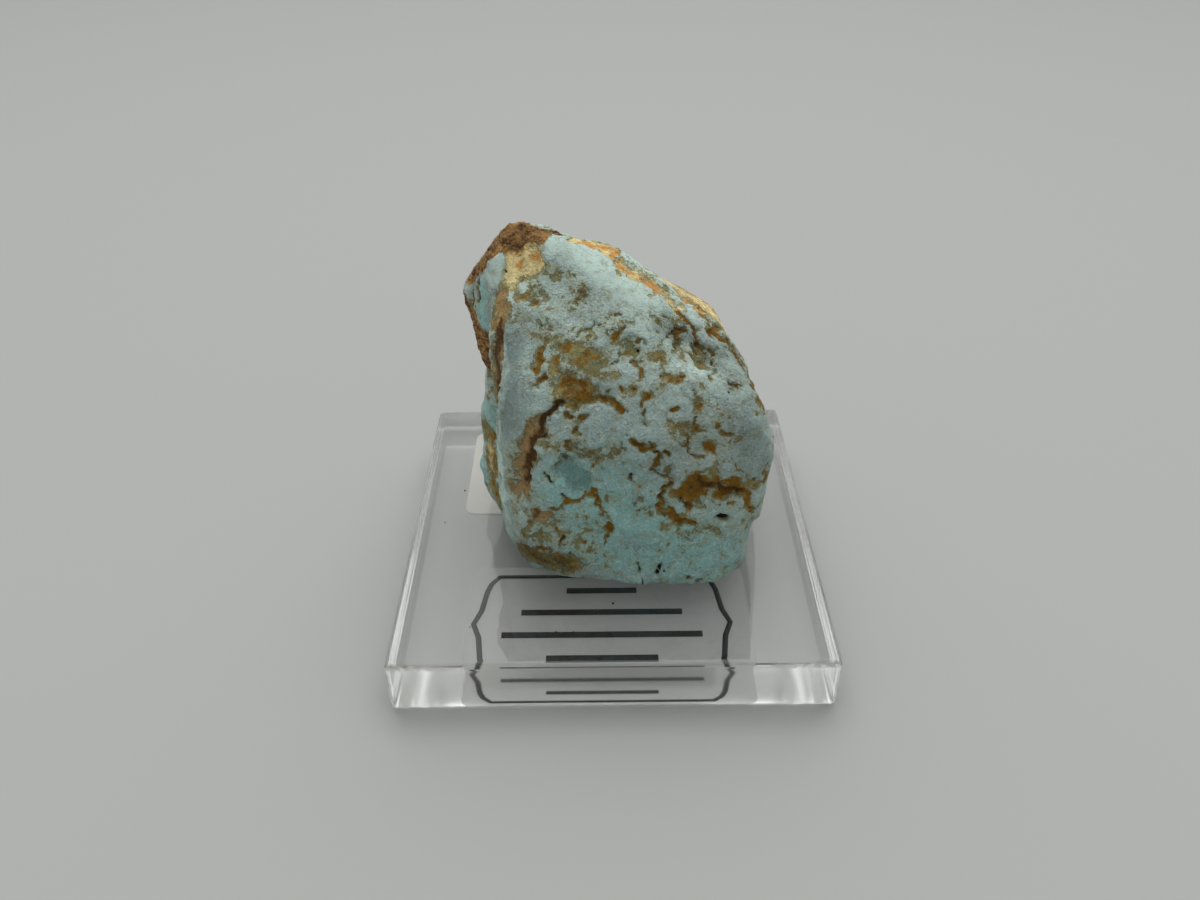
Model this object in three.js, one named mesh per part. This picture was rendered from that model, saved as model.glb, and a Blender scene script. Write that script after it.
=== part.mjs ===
// A raw turquoise nugget on a clear acrylic display block that has two adhesive labels stuck under it.
// Millimetres, +Z up, the front faces -Y. The origin is the middle of the underside.
import * as THREE from "three";
import { mergeVertices } from "three/addons/utils/BufferGeometryUtils.js";
import { ImprovedNoise } from "three/addons/math/ImprovedNoise.js";

// ---------- driving dimensions ----------

const BLOCK_SIDE = 70;
const BLOCK_HEIGHT = 10;
const BLOCK_CHAMFER = 0.4;

const LABEL_WIDTH = 47;
const LABEL_DEPTH = 26;
const LABEL_THICKNESS = 0.15;
const LABEL_CORNER = 2;
const LABEL_CORNER_SEGMENTS = 6;
const PRINTED_LABEL_CENTRE = { x: -0.6, y: -20.6 };
const PLAIN_LABEL_CENTRE = { x: -3.8, y: 20.3 };

const BLOCK_TOP = LABEL_THICKNESS + BLOCK_HEIGHT;

// The middle that the stone's surface is measured from.
const STONE_CENTRE = [2, 2, 36];
const STONE_DETAIL = 18; // subdivisions of the icosahedron that the surface is spun from
const EDGE_SHARPNESS = 18; // how crisply two broken faces meet

// Broken faces: a point on the face, then the way it faces as an azimuth in degrees, 0 to the front, 90 to
// the right and 180 to the back, and an elevation above the horizontal.
const FACES = [
  { at: [2, -17.8, 26], facing: [2, -2] }, // broad front
  { at: [0, -15.4, 43], facing: [0, 20] }, // front, upper half
  { at: [-2, -9.6, 51.5], facing: [-4, 42] }, // front, rolling back to the top
  { at: [6, -1, 54.6], facing: [62, 58] }, // crest between front and top
  { at: [8, 6, 53], facing: [114, 54] }, // top, sloping down to the right
  { at: [22, 0, 40], facing: [97, 21] }, // upper right flank
  { at: [26, -3, 20], facing: [80, -6] }, // lower right flank
  { at: [24.8, -12, 14], facing: [52, -12] }, // front right corner
  { at: [-15.6, -15.2, 30], facing: [-44, 2] }, // front left corner
  { at: [-17.6, -10, 30], facing: [-78, 0] }, // left side of the front slab
  { at: [-23.8, 6, 20], facing: [-92, -4] }, // left flank
  { at: [-26, 12, 46], facing: [-100, 14] }, // upper left flank
  { at: [-20.6, 8, 57.4], facing: [-95, 42] }, // left, under the knob
  { at: [-12, -16, 12.5], facing: [-24, -48] }, // front left, cut under
  { at: [2, 24, 30], facing: [180, 4] }, // back
  { at: [17, 22, 32], facing: [146, 14] }, // back right
  { at: [-16, 20, 36], facing: [-140, 8] }, // back left
  { at: [-6, 14, 55.5], facing: [176, 46] }, // back, high
  { at: [0, 22, 13], facing: [180, -42] }, // back, cut under
  { at: [25, 6, 13], facing: [95, -42] }, // right, cut under
  { at: [-21, 14, 12], facing: [-120, -42] }, // left, cut under
];

// Lobes that stand out and hollows that fall in: a point near the surface, radius, height.
const LOBES = [
  { at: [-14, 3, 63], radius: 3.4, height: 1.6 }, // knob at the top left
  { at: [-9, 5, 63], radius: 3, height: 0.8 }, // second bump beside it
  { at: [6, 6, 58], radius: 8, height: 2.2 }, // crest
  { at: [16, 22, 41], radius: 7, height: 1.8 }, // back right lobe
  { at: [-23, 11, 49], radius: 6, height: 2.4 }, // upper left lobe
  { at: [-23, 9, 38], radius: 4.5, height: -2.4 }, // notch under it
  { at: [-22, 6, 28], radius: 5, height: 1.8 }, // ledge below the notch
  { at: [-22, 4, 17], radius: 5, height: 2.8 }, // lower left lobe
  { at: [16, -17, 12], radius: 7, height: 1.6 }, // lip at the bottom right
  { at: [23, -10, 12], radius: 5, height: 1 }, // right end of the lip
  { at: [-16, -15, 17], radius: 5, height: -0.8 }, // hollow at the bottom left
  { at: [-6, -19, 22], radius: 4, height: -0.5 }, // smooth scoop
  { at: [4, -19, 16], radius: 4, height: -0.5 }, // smooth scoop
];

// Grooves: the points they run through, half width, depth.
const GROOVES = [
  // beside the front slab
  {
    path: [[-17.5, 0, 57], [-19, -1, 48], [-20, -2, 36], [-20, -3, 24], [-19, -5, 14]],
    width: 2.2,
    depth: 4,
  },
];

// Unevenness of the surface: wavelength and height of each size of bump.
const BUMPS = [
  { length: 14, height: 0.9 },
  { length: 6, height: 0.6 },
];

const COLOURS = {
  stone: 0x9fc4bb,
  acrylic: 0xf4f7f6,
  clearFilm: 0xe9ece8,
  plainLabel: 0xe8e6da,
};

// ---------- shapes ----------

/** The unit vector that points to an azimuth and elevation in degrees. */
function direction(azimuth, elevation) {
  const a = THREE.MathUtils.degToRad(azimuth);
  const e = THREE.MathUtils.degToRad(elevation);
  return new THREE.Vector3(Math.sin(a) * Math.cos(e), -Math.cos(a) * Math.cos(e), Math.sin(e));
}

/** A point given in the frame of the whole object, measured from the stone's middle. */
const fromMiddle = (point) => new THREE.Vector3(...point).sub(new THREE.Vector3(...STONE_CENTRE));

/** A bell from 1 at distance 0 to almost nothing at twice the radius. */
const bell = (distance, radius) => Math.exp(-((distance / radius) ** 2));

/** Distance from the middle to a solid bounded by all the broken faces, with its edges rounded. */
function facetedRadius(way, faces) {
  let sum = 0;
  for (const { normal, distance } of faces) {
    const reach = Math.max(0, way.dot(normal)) / distance;
    sum += reach ** EDGE_SHARPNESS;
  }
  return sum ** (-1 / EDGE_SHARPNESS);
}

/** Distance from a point to the nearest point of a path of straight runs. */
function distanceToPath(point, path) {
  const nearest = new THREE.Vector3();
  const distances = path.slice(1).map((end, i) => {
    new THREE.Line3(path[i], end).closestPointToPoint(point, true, nearest);
    return nearest.distanceTo(point);
  });
  return Math.min(...distances);
}

/** The stone's surface as distance from its middle, for any direction. */
function stoneRadius() {
  const noise = new ImprovedNoise();
  const faces = FACES.map(({ at, facing }) => {
    const normal = direction(...facing);
    return { normal, distance: fromMiddle(at).dot(normal) };
  });
  const lobes = LOBES.map(({ at, radius, height }) => ({ middle: fromMiddle(at), radius, height }));
  const grooves = GROOVES.map(({ path, width, depth }) => ({ path: path.map(fromMiddle), width, depth }));
  return (way) => {
    const point = way.clone().multiplyScalar(facetedRadius(way, faces));
    let change = 0;
    for (const { middle, radius, height } of lobes) {
      change += height * bell(middle.distanceTo(point), radius);
    }
    for (const { path, width, depth } of grooves) {
      change -= depth * bell(distanceToPath(point, path), width);
    }
    for (const { length, height } of BUMPS) {
      change += height * noise.noise(point.x / length, point.y / length, point.z / length);
    }
    return point.length() + change;
  };
}

/** The nugget as one closed mesh, with a flat patch where it stands on the block. */
function stoneGeometry() {
  const geometry = new THREE.IcosahedronGeometry(1, STONE_DETAIL);
  geometry.deleteAttribute("normal");
  geometry.deleteAttribute("uv");
  const merged = mergeVertices(geometry);
  const radiusAt = stoneRadius();
  const middle = new THREE.Vector3(...STONE_CENTRE);
  const floorDrop = middle.z - BLOCK_TOP;
  const position = merged.getAttribute("position");
  const way = new THREE.Vector3();
  for (let i = 0; i < position.count; i++) {
    way.fromBufferAttribute(position, i).normalize();
    const radius = radiusAt(way);
    const onFloor = way.z < 0 && radius * -way.z >= floorDrop;
    const reach = onFloor ? floorDrop / -way.z : radius;
    way.multiplyScalar(reach).add(middle);
    position.setXYZ(i, way.x, way.y, onFloor ? BLOCK_TOP : way.z);
  }
  return merged;
}

/** The outline of a rectangle with rounded corners, centred on the origin. */
function roundedRectangle(width, depth, corner) {
  const x = width / 2;
  const y = depth / 2;
  const shape = new THREE.Shape();
  shape.absarc(x - corner, y - corner, corner, 0, Math.PI / 2);
  shape.absarc(-x + corner, y - corner, corner, Math.PI / 2, Math.PI);
  shape.absarc(-x + corner, -y + corner, corner, Math.PI, 1.5 * Math.PI);
  shape.absarc(x - corner, -y + corner, corner, 1.5 * Math.PI, 2 * Math.PI);
  return shape;
}

/** The acrylic block, standing on z = 0, with a narrow chamfer on all its edges. */
function blockGeometry() {
  const half = BLOCK_SIDE / 2 - BLOCK_CHAMFER;
  const shape = new THREE.Shape();
  shape.moveTo(-half, -half).lineTo(half, -half).lineTo(half, half).lineTo(-half, half).closePath();
  const geometry = new THREE.ExtrudeGeometry(shape, {
    depth: BLOCK_HEIGHT - 2 * BLOCK_CHAMFER,
    bevelEnabled: true,
    bevelSize: BLOCK_CHAMFER,
    bevelThickness: BLOCK_CHAMFER,
    bevelSegments: 1,
  });
  return geometry.translate(0, 0, BLOCK_CHAMFER);
}

/** One adhesive label, standing on z = 0. */
function labelGeometry() {
  const outline = roundedRectangle(LABEL_WIDTH, LABEL_DEPTH, LABEL_CORNER);
  return new THREE.ExtrudeGeometry(outline, {
    depth: LABEL_THICKNESS,
    bevelEnabled: false,
    curveSegments: LABEL_CORNER_SEGMENTS,
  });
}

// ---------- the object ----------

/** A named mesh in its own material. */
function piece(name, geometry, color, roughness) {
  const mesh = new THREE.Mesh(geometry, new THREE.MeshStandardMaterial({ color, roughness, metalness: 0 }));
  mesh.name = name;
  return mesh;
}

const specimen = new THREE.Group();

const printedLabel = piece("printed_label", labelGeometry(), COLOURS.clearFilm, 0.3);
printedLabel.position.set(PRINTED_LABEL_CENTRE.x, PRINTED_LABEL_CENTRE.y, 0);

const plainLabel = piece("plain_label", labelGeometry(), COLOURS.plainLabel, 0.6);
plainLabel.position.set(PLAIN_LABEL_CENTRE.x, PLAIN_LABEL_CENTRE.y, 0);

const block = piece("acrylic_block", blockGeometry(), COLOURS.acrylic, 0.05);
block.position.z = LABEL_THICKNESS;

const nugget = piece("turquoise_nugget", stoneGeometry(), COLOURS.stone, 0.8);

specimen.add(printedLabel, plainLabel, block, nugget);

export default specimen;
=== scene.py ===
"""A raw turquoise nugget standing on a clear acrylic display block.

The stone has a chalky blue-green skin that is worn through to olive, ochre and brown iron stains,
with brown host rock on its knob, its left flank and its back. The block is a polished square slab
with two labels stuck under it: a clear film with a printed ornamental line, and a plain cream one.
Sizes in the classes are millimetres; meshes are in metres.
"""

from __future__ import annotations

import logging
import math
from collections.abc import Iterable, Sequence
from dataclasses import dataclass, field, replace
from enum import Enum

import bmesh
import bpy
import numpy as np
from mathutils import Matrix, Vector, noise


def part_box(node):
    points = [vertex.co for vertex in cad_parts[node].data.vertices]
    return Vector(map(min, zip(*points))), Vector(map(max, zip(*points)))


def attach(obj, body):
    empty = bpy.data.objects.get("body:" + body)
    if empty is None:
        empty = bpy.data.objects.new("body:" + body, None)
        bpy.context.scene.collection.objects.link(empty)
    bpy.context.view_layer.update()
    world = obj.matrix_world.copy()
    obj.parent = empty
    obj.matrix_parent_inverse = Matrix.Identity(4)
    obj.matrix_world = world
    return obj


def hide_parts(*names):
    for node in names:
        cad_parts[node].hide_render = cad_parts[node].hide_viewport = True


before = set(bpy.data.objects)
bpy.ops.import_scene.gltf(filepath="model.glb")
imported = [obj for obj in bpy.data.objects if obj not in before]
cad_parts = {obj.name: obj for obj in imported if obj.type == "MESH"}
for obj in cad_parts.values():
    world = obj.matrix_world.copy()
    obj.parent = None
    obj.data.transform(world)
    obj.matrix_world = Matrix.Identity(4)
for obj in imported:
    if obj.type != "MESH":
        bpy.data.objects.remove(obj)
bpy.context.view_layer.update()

MM = 0.001
TINY = 1e-9
CORNER_SEGMENTS = 8
log = logging.getLogger("turquoise_nugget")

Colour = tuple[float, float, float]
Point2 = tuple[float, float]
Socket = bpy.types.NodeSocket


class Slot(Enum):
    """The record's material slots."""

    TURQUOISE = "turquoise"
    ACRYLIC = "acrylic"
    CLEAR_FILM = "clear_film"
    CREAM_PAPER = "cream_paper"


class Node(Enum):
    """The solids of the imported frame."""

    NUGGET = "turquoise_nugget"
    BLOCK = "acrylic_block"
    PRINTED = "printed_label"
    PLAIN = "plain_label"


# --------------------------------------------------------------------------------------------------
# Node trees and meshes
# --------------------------------------------------------------------------------------------------


class Graph:
    """Adds nodes to one node tree and links them."""

    def __init__(self, tree: bpy.types.NodeTree) -> None:
        """Start on a tree.

        Args:
            tree: The shader or geometry tree to fill.
        """
        self.tree = tree

    def add(self, kind: str, inputs: dict | None = None, **settings: object) -> bpy.types.Node:
        """Add a node.

        Args:
            kind: The node's type name.
            inputs: Values or output sockets for its inputs, by socket name or index.
            settings: The node's own properties.

        Returns:
            The new node.
        """
        node = self.tree.nodes.new(kind)
        for name, value in settings.items():
            setattr(node, name, value)
        for key, value in (inputs or {}).items():
            if isinstance(value, Socket):
                self.tree.links.new(value, node.inputs[key])
            else:
                node.inputs[key].default_value = value
        return node

    def math(self, operation: str, a: object, b: object = 0.0) -> Socket:
        """Return the result of a maths node on two values or sockets."""
        return self.add("ShaderNodeMath", {0: a, 1: b}, operation=operation).outputs[0]

    def times(self, a: object, b: object) -> Socket:
        """Return the product of two values or sockets."""
        return self.math("MULTIPLY", a, b)

    def sum(self, *terms: object) -> Socket:
        """Return the sum of several values or sockets."""
        total = terms[0]
        for term in terms[1:]:
            total = self.math("ADD", total, term)
        return total

    def step(self, value: object, low: float, high: float, start: float = 0.0, end: float = 1.0) -> Socket:
        """Return a smooth step.

        Args:
            value: What it depends on.
            low: Where the step begins.
            high: Where it ends.
            start: The result up to low.
            end: The result from high on.

        Returns:
            The stepped value.
        """
        inputs = {"Value": value, "From Min": low, "From Max": high, "To Min": start, "To Max": end}
        return self.add("ShaderNodeMapRange", inputs, interpolation_type="SMOOTHSTEP").outputs["Result"]

    def mix(self, share: object, a: object, b: object, blend: str = "MIX") -> Socket:
        """Blend two colours.

        Args:
            share: How much of b there is, from 0 to 1.
            a: The first colour or socket.
            b: The second colour or socket.
            blend: The blend type.

        Returns:
            The colour socket.
        """
        first, second = 6, 7
        inputs = {0: share, first: opaque(a), second: opaque(b)}
        node = self.add("ShaderNodeMix", inputs, data_type="RGBA", blend_type=blend)
        return node.outputs[2]

    def noise(self, place: object, scale: float, detail: float, rough: float, shift: float) -> Socket:
        """Return noise centred on 0, about -0.5 to 0.5.

        Args:
            place: The coordinates, in millimetres.
            scale: Features per millimetre.
            detail: Finer layers.
            rough: Strength of the finer layers.
            shift: An offset that makes each noise different.

        Returns:
            The noise socket.
        """
        moved = self.add("ShaderNodeVectorMath", {0: place, 1: (shift, shift, shift)}, operation="ADD")
        inputs = {"Vector": moved.outputs[0], "Scale": scale, "Detail": detail, "Roughness": rough}
        texture = self.add("ShaderNodeTexNoise", inputs)
        return self.math("SUBTRACT", texture.outputs[0], 0.5)

    def warp(self, place: object, scale: float, reach: float) -> Socket:
        """Return coordinates pushed about by noise.

        Args:
            place: The coordinates, in millimetres.
            scale: Features per millimetre.
            reach: How far they are pushed.

        Returns:
            The pushed coordinates.
        """
        inputs = {"Vector": place, "Scale": scale, "Detail": 2.0}
        drift = self.add("ShaderNodeTexNoise", inputs).outputs[1]
        centred = self.add("ShaderNodeVectorMath", {0: drift, 1: (0.5, 0.5, 0.5)}, operation="SUBTRACT")
        inputs = {0: centred.outputs[0], 1: (reach,) * 3, 2: place}
        return self.add("ShaderNodeVectorMath", inputs, operation="MULTIPLY_ADD").outputs[0]

    def lobes(self, place: object, scale: float) -> Socket:
        """Return rounded lobes with creases between them, about -0.5 to 0.35.

        Args:
            place: The coordinates, in millimetres.
            scale: Lobes per millimetre.

        Returns:
            The height socket.
        """
        texture = self.add("ShaderNodeTexVoronoi", {"Vector": place, "Scale": scale}, feature="F1")
        squared = self.times(texture.outputs["Distance"], texture.outputs["Distance"])
        return self.math("SUBTRACT", 0.35, self.times(squared, 1.4))

    def flakes(self, value: object, pitch: float) -> tuple[Socket, Socket]:
        """Break a slope into flat flakes with sharp edges.

        Args:
            value: The slope.
            pitch: Flakes for each unit of it.

        Returns:
            The stepped height, one for each flake, and the mask of a painted highlight along the upper
            side of each edge.
        """
        steps = self.times(value, pitch)
        part = self.math("FRACT", steps)
        height = self.sum(self.math("FLOOR", steps), self.step(part, 0.72, 1.0))
        rim = self.step(part, 0.80, 0.96)
        rest = self.step(part, 0.0, 0.22, start=1.0, end=0.0)
        return height, self.math("MAXIMUM", rim, rest)

    def shade(self, colour: object, factor: object) -> Socket:
        """Return a colour made lighter or darker by a factor."""
        grey = self.add("ShaderNodeCombineColor", {0: factor, 1: factor, 2: factor}).outputs[0]
        return self.mix(1.0, colour, grey, "MULTIPLY")

    def attribute(self, name: str) -> Socket:
        """Return a surface field stored on the mesh."""
        return self.add("ShaderNodeAttribute", attribute_name=name).outputs["Fac"]

    def millimetres(self, stretch: Sequence[float] = (1.0, 1.0, 1.0)) -> Socket:
        """Return object coordinates in millimetres, stretched along each axis."""
        place = self.add("ShaderNodeTexCoord").outputs["Object"]
        scale = tuple(part / MM for part in stretch)
        return self.add("ShaderNodeVectorMath", {0: place, 1: scale}, operation="MULTIPLY").outputs[0]

    def bump(self, height: object) -> Socket:
        """Return the normal of a height given in millimetres."""
        return self.add("ShaderNodeBump", {"Height": height, "Distance": MM, "Strength": 1.0}).outputs[0]


class Fields:
    """The surface fields stored on a mesh and the noises laid over them, by name."""

    def __init__(self, graph: Graph) -> None:
        """Start with no noises.

        Args:
            graph: The material's graph.
        """
        self.graph = graph
        self.sockets: dict[str, Socket] = {}

    def __setitem__(self, name: str, socket: Socket) -> None:
        """Name a noise or another value."""
        self.sockets[name] = socket

    def __getitem__(self, name: str) -> Socket:
        """Return what has that name, which is a field of the mesh unless it has been set."""
        if name not in self.sockets:
            self.sockets[name] = self.graph.attribute(name)
        return self.sockets[name]

    def blend(self, start: float = 0.0, **weights: float) -> Socket:
        """Add up named fields.

        Args:
            start: A number to begin with.
            weights: What each field is multiplied by, under its name.

        Returns:
            The sum.
        """
        parts = (self.graph.times(self[name], weight) for name, weight in weights.items())
        return self.graph.sum(start, *parts)


def opaque(colour: object) -> object:
    """Give a three-number colour its fourth number, and leave sockets alone."""
    return (*colour, 1.0) if isinstance(colour, tuple) and len(colour) == 3 else colour


def new_material(name: str) -> tuple[bpy.types.Material, Graph, bpy.types.Node]:
    """Make a material with a principled shader.

    Args:
        name: The material's name.

    Returns:
        The material, its graph and its shader node.
    """
    material = bpy.data.materials.new(name)
    material.use_nodes = True
    graph = Graph(material.node_tree)
    shader = material.node_tree.nodes["Principled BSDF"]
    return material, graph, shader


def new_object(name: str, mesh: bpy.types.Mesh) -> bpy.types.Object:
    """Put a mesh in the scene as an object at the origin."""
    piece = bpy.data.objects.new(name, mesh)
    bpy.context.scene.collection.objects.link(piece)
    return piece


def hand_over(piece: bpy.types.Object, node: Node | None = None) -> None:
    """Fix a finished piece to the part and report it.

    Args:
        piece: The finished object.
        node: The solid that it stands for, if any.
    """
    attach(piece, "root")
    if node is not None:
        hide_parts(node.value)
    log.info("%s: %d faces", piece.name, len(piece.data.polygons))


def rounded_outline(low: Point2, high: Point2, radius: float, segments: int) -> list[Point2]:
    """Walk round a rectangle with round corners.

    Args:
        low: Its lowest corner.
        high: Its highest corner.
        radius: The corners' radius.
        segments: Straight pieces in each corner.

    Returns:
        The points, anticlockwise.
    """
    points = []
    centres = [(high[0] - radius, high[1] - radius), (low[0] + radius, high[1] - radius),
               (low[0] + radius, low[1] + radius), (high[0] - radius, low[1] + radius)]
    for corner, (x, y) in enumerate(centres):
        for step in range(segments + 1):
            angle = math.pi / 2 * (corner + step / segments)
            points.append((x + radius * math.cos(angle), y + radius * math.sin(angle)))
    return points


def slab_mesh(name: str, outline: Sequence[Point2], bottom: float, top: float) -> bpy.types.Mesh:
    """Raise an outline into a thin closed slab.

    Args:
        name: The mesh's name.
        outline: Its points in millimetres, anticlockwise.
        bottom: The height of its underside.
        top: The height of its upper side.

    Returns:
        The mesh, in metres.
    """
    mesh = bpy.data.meshes.new(name)
    shape = bmesh.new()
    rings = [[shape.verts.new((x * MM, y * MM, z * MM)) for x, y in outline] for z in (bottom, top)]
    shape.faces.new(reversed(rings[0]))
    shape.faces.new(rings[1])
    for here in range(len(outline)):
        after = (here + 1) % len(outline)
        shape.faces.new((rings[0][here], rings[0][after], rings[1][after], rings[1][here]))
    shape.to_mesh(mesh)
    shape.free()
    return mesh


class Grower:
    """A geometry node tree with named inputs that is run once and leaves a plain mesh."""

    def __init__(self, name: str, inputs: dict[str, tuple[str, object]]) -> None:
        """Make the tree.

        Args:
            name: The tree's name.
            inputs: The socket type and value of each named input.
        """
        self.tree = bpy.data.node_groups.new(name, "GeometryNodeTree")
        self.graph = Graph(self.tree)
        self.values = {label: value for label, (_, value) in inputs.items()}
        face = self.tree.interface
        face.new_socket("Geometry", in_out="INPUT", socket_type="NodeSocketGeometry")
        for label, (kind, _) in inputs.items():
            face.new_socket(label, in_out="INPUT", socket_type=kind)
        face.new_socket("Geometry", in_out="OUTPUT", socket_type="NodeSocketGeometry")
        self.source = self.graph.add("NodeGroupInput").outputs

    def close(self, geometry: Socket, material: bpy.types.Material) -> None:
        """End the tree in realized geometry with a material.

        Args:
            geometry: What has been grown.
            material: Its material.
        """
        real = self.graph.add("GeometryNodeRealizeInstances", {"Geometry": geometry}).outputs[0]
        inputs = {"Geometry": real, "Material": material}
        dressed = self.graph.add("GeometryNodeSetMaterial", inputs).outputs[0]
        self.graph.add("NodeGroupOutput", {0: dressed})

    def grow(self, piece: bpy.types.Object) -> None:
        """Run the tree on a piece and keep the result as its plain mesh."""
        modifier = piece.modifiers.new(self.tree.name, "NODES")
        modifier.node_group = self.tree
        for item in self.tree.interface.items_tree:
            if item.in_out == "INPUT" and item.name in self.values:
                modifier[item.identifier] = self.values[item.name]
        evaluated = piece.evaluated_get(bpy.context.evaluated_depsgraph_get())
        grown = bpy.data.meshes.new_from_object(evaluated)
        piece.modifiers.clear()
        piece.data = grown


# --------------------------------------------------------------------------------------------------
# Finishes
# --------------------------------------------------------------------------------------------------


@dataclass(frozen=True)
class TurquoiseFinish:
    """Chalky turquoise skin over iron-stained rock."""

    mint: Colour = (0.57, 0.74, 0.67)
    blue: Colour = (0.31, 0.575, 0.545)
    grey: Colour = (0.395, 0.525, 0.495)
    # Painted highlight: the pale colour laid along the upper side of each flake's edge.
    rim: Colour = (0.70, 0.80, 0.74)
    tea: Colour = (0.38, 0.34, 0.17)
    olive: Colour = (0.32, 0.33, 0.14)
    straw: Colour = (0.50, 0.44, 0.18)
    ochre: Colour = (0.285, 0.145, 0.014)
    tan: Colour = (0.42, 0.28, 0.12)
    brown: Colour = (0.105, 0.053, 0.016)
    cream: Colour = (0.86, 0.73, 0.36)
    rust: Colour = (0.66, 0.34, 0.095)
    host_dark: Colour = (0.090, 0.045, 0.020)
    host_light: Colour = (0.80, 0.45, 0.16)
    # Painted shade: the near-black colour inside the small pits.
    pit_shade: Colour = (0.012, 0.011, 0.010)
    roughness: float = 0.82
    specular: float = 0.22
    cover_height: float = 0.12

    def make(self) -> bpy.types.Material:
        """Build the material from the stone's surface fields.

        Returns:
            The material.
        """
        material, g, shader = new_material("chalky_turquoise")
        fields = self.noises(g)
        tint = g.step(fields.blend(mottle=1.0, patch=0.8), -0.20, 0.14)
        stain = g.mix(tint, self.olive, self.straw)
        edge = fields["edge"]
        bare, skin = self.bare(g, fields, stain), self.skin(g, fields, stain)
        colour = g.mix(g.step(edge, -0.20, 0.14), bare, skin)
        host = g.step(fields.blend(host=1.0, lace=0.8, grain=0.3), 0.42, 0.56)
        colour = g.mix(host, colour, self.host(g, fields))
        # Painted shade: the pits are coloured near black.
        hollow = g.step(fields.blend(hollow=1.0, grain=0.25), 0.35, 0.7)
        colour = g.mix(hollow, colour, self.pit_shade)
        height = g.sum(g.step(edge, -0.08, 0.08, end=self.cover_height), self.relief(g, fields),
                       g.times(host, fields.blend(crag=1.5)))
        shader.inputs["Roughness"].default_value = self.roughness
        shader.inputs["Specular IOR Level"].default_value = self.specular
        g.tree.links.new(colour, shader.inputs["Base Color"])
        g.tree.links.new(g.bump(height), shader.inputs["Normal"])
        return material

    def noises(self, g: Graph) -> Fields:
        """Lay the noises over the stone's own fields.

        Args:
            g: The material's graph.

        Returns:
            The fields and noises. The one named edge says how far the skin reaches past its edge,
            and is below 0 where the skin is worn through.
        """
        place = g.millimetres()
        stirred = g.warp(place, 1.2, 0.9)
        brushed = g.warp(g.millimetres((0.35, 1.0, 1.15)), 0.8, 0.8)
        veined = g.warp(g.millimetres((0.8, 0.8, 1.9)), 0.5, 1.2)
        fields = Fields(g)
        fields["plates"] = g.noise(stirred, 0.50, 3.0, 0.50, 67.7)
        fields["lace"] = g.noise(stirred, 0.75, 5.0, 0.66, 3.1)
        fields["mottle"] = g.noise(stirred, 0.65, 4.0, 0.6, 47.3)
        fields["patch"] = g.noise(place, 0.26, 4.0, 0.6, 23.9)
        fields["grain"] = g.noise(place, 2.8, 3.0, 0.75, 11.7)
        fields["dust"] = g.noise(place, 5.0, 2.0, 0.6, 57.1)
        fields["crag"] = g.noise(place, 1.3, 5.0, 0.75, 71.9)
        fields["brush"] = g.noise(brushed, 1.5, 4.0, 0.65, 35.3)
        fields["vein"] = g.noise(veined, 0.50, 6.0, 0.80, 41.3)
        fields["lobes"] = g.lobes(stirred, 1.15)
        fields["beads"] = g.lobes(stirred, 2.7)
        fields["edge"] = fields.blend(skin=1.0, plates=1.0, lace=0.9, grain=0.8, lobes=0.15, brush=0.3)
        layers = fields.blend(skin=0.5, plates=1.0, lace=0.35, grain=0.08)
        # The flakes' stepped height and the mask of their painted highlight line.
        fields["flake"], fields["rim"] = g.flakes(layers, 4.5)
        return fields

    def skin(self, g: Graph, fields: Fields, stain: Socket) -> Socket:
        """Colour the pale skin, with a painted highlight along its flake edges and painted shade in its
        low places.

        Args:
            g: The material's graph.
            fields: The stone's fields and noises.
            stain: The colour that has soaked into the skin near its edges.

        Returns:
            The skin's colour.
        """
        edge = fields["edge"]
        blue = g.step(fields.blend(blue=1.0, patch=0.9), 0.1, 0.9)
        mint = g.step(fields.blend(mint=1.0, patch=0.6), 0.2, 0.85)
        tone = g.mix(mint, g.mix(blue, self.grey, self.blue), self.mint)
        tone = g.mix(g.step(fields["skin"], -0.05, 0.40, start=0.26, end=0.0), tone, stain)
        tone = g.mix(g.step(edge, 0.02, 0.32, start=0.44, end=0.0), tone, stain)
        # Painted highlight: the pale highlight colour laid along the flakes' upper edges where the skin
        # covers.
        lit = g.times(g.step(edge, 0.05, 0.12, end=0.45), fields["rim"])
        tone = g.mix(lit, tone, self.rim)
        soaked = g.step(fields.blend(mottle=1.0, grain=-0.3, plates=-0.5), 0.0, 0.28, end=0.56)
        tone = g.mix(soaked, tone, self.tea)
        # Painted shade: the skin is darkened where the relief's lace, plates, grain and beads are low, on
        # top of its own uneven patch tone and the painted shade marks.
        calm = fields.blend(1.0, smooth=-0.5)
        fine = g.times(fields.blend(grain=0.40, beads=0.16), calm)
        broad = fields.blend(1.0, lace=0.24, patch=0.25, plates=0.24, dim=-0.28)
        tone = g.shade(tone, g.sum(broad, fine))
        speck = g.times(g.step(fields.blend(grain=1.0, lace=-0.5), 0.17, 0.27, end=0.6), calm)
        return g.mix(speck, tone, self.tea)

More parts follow.
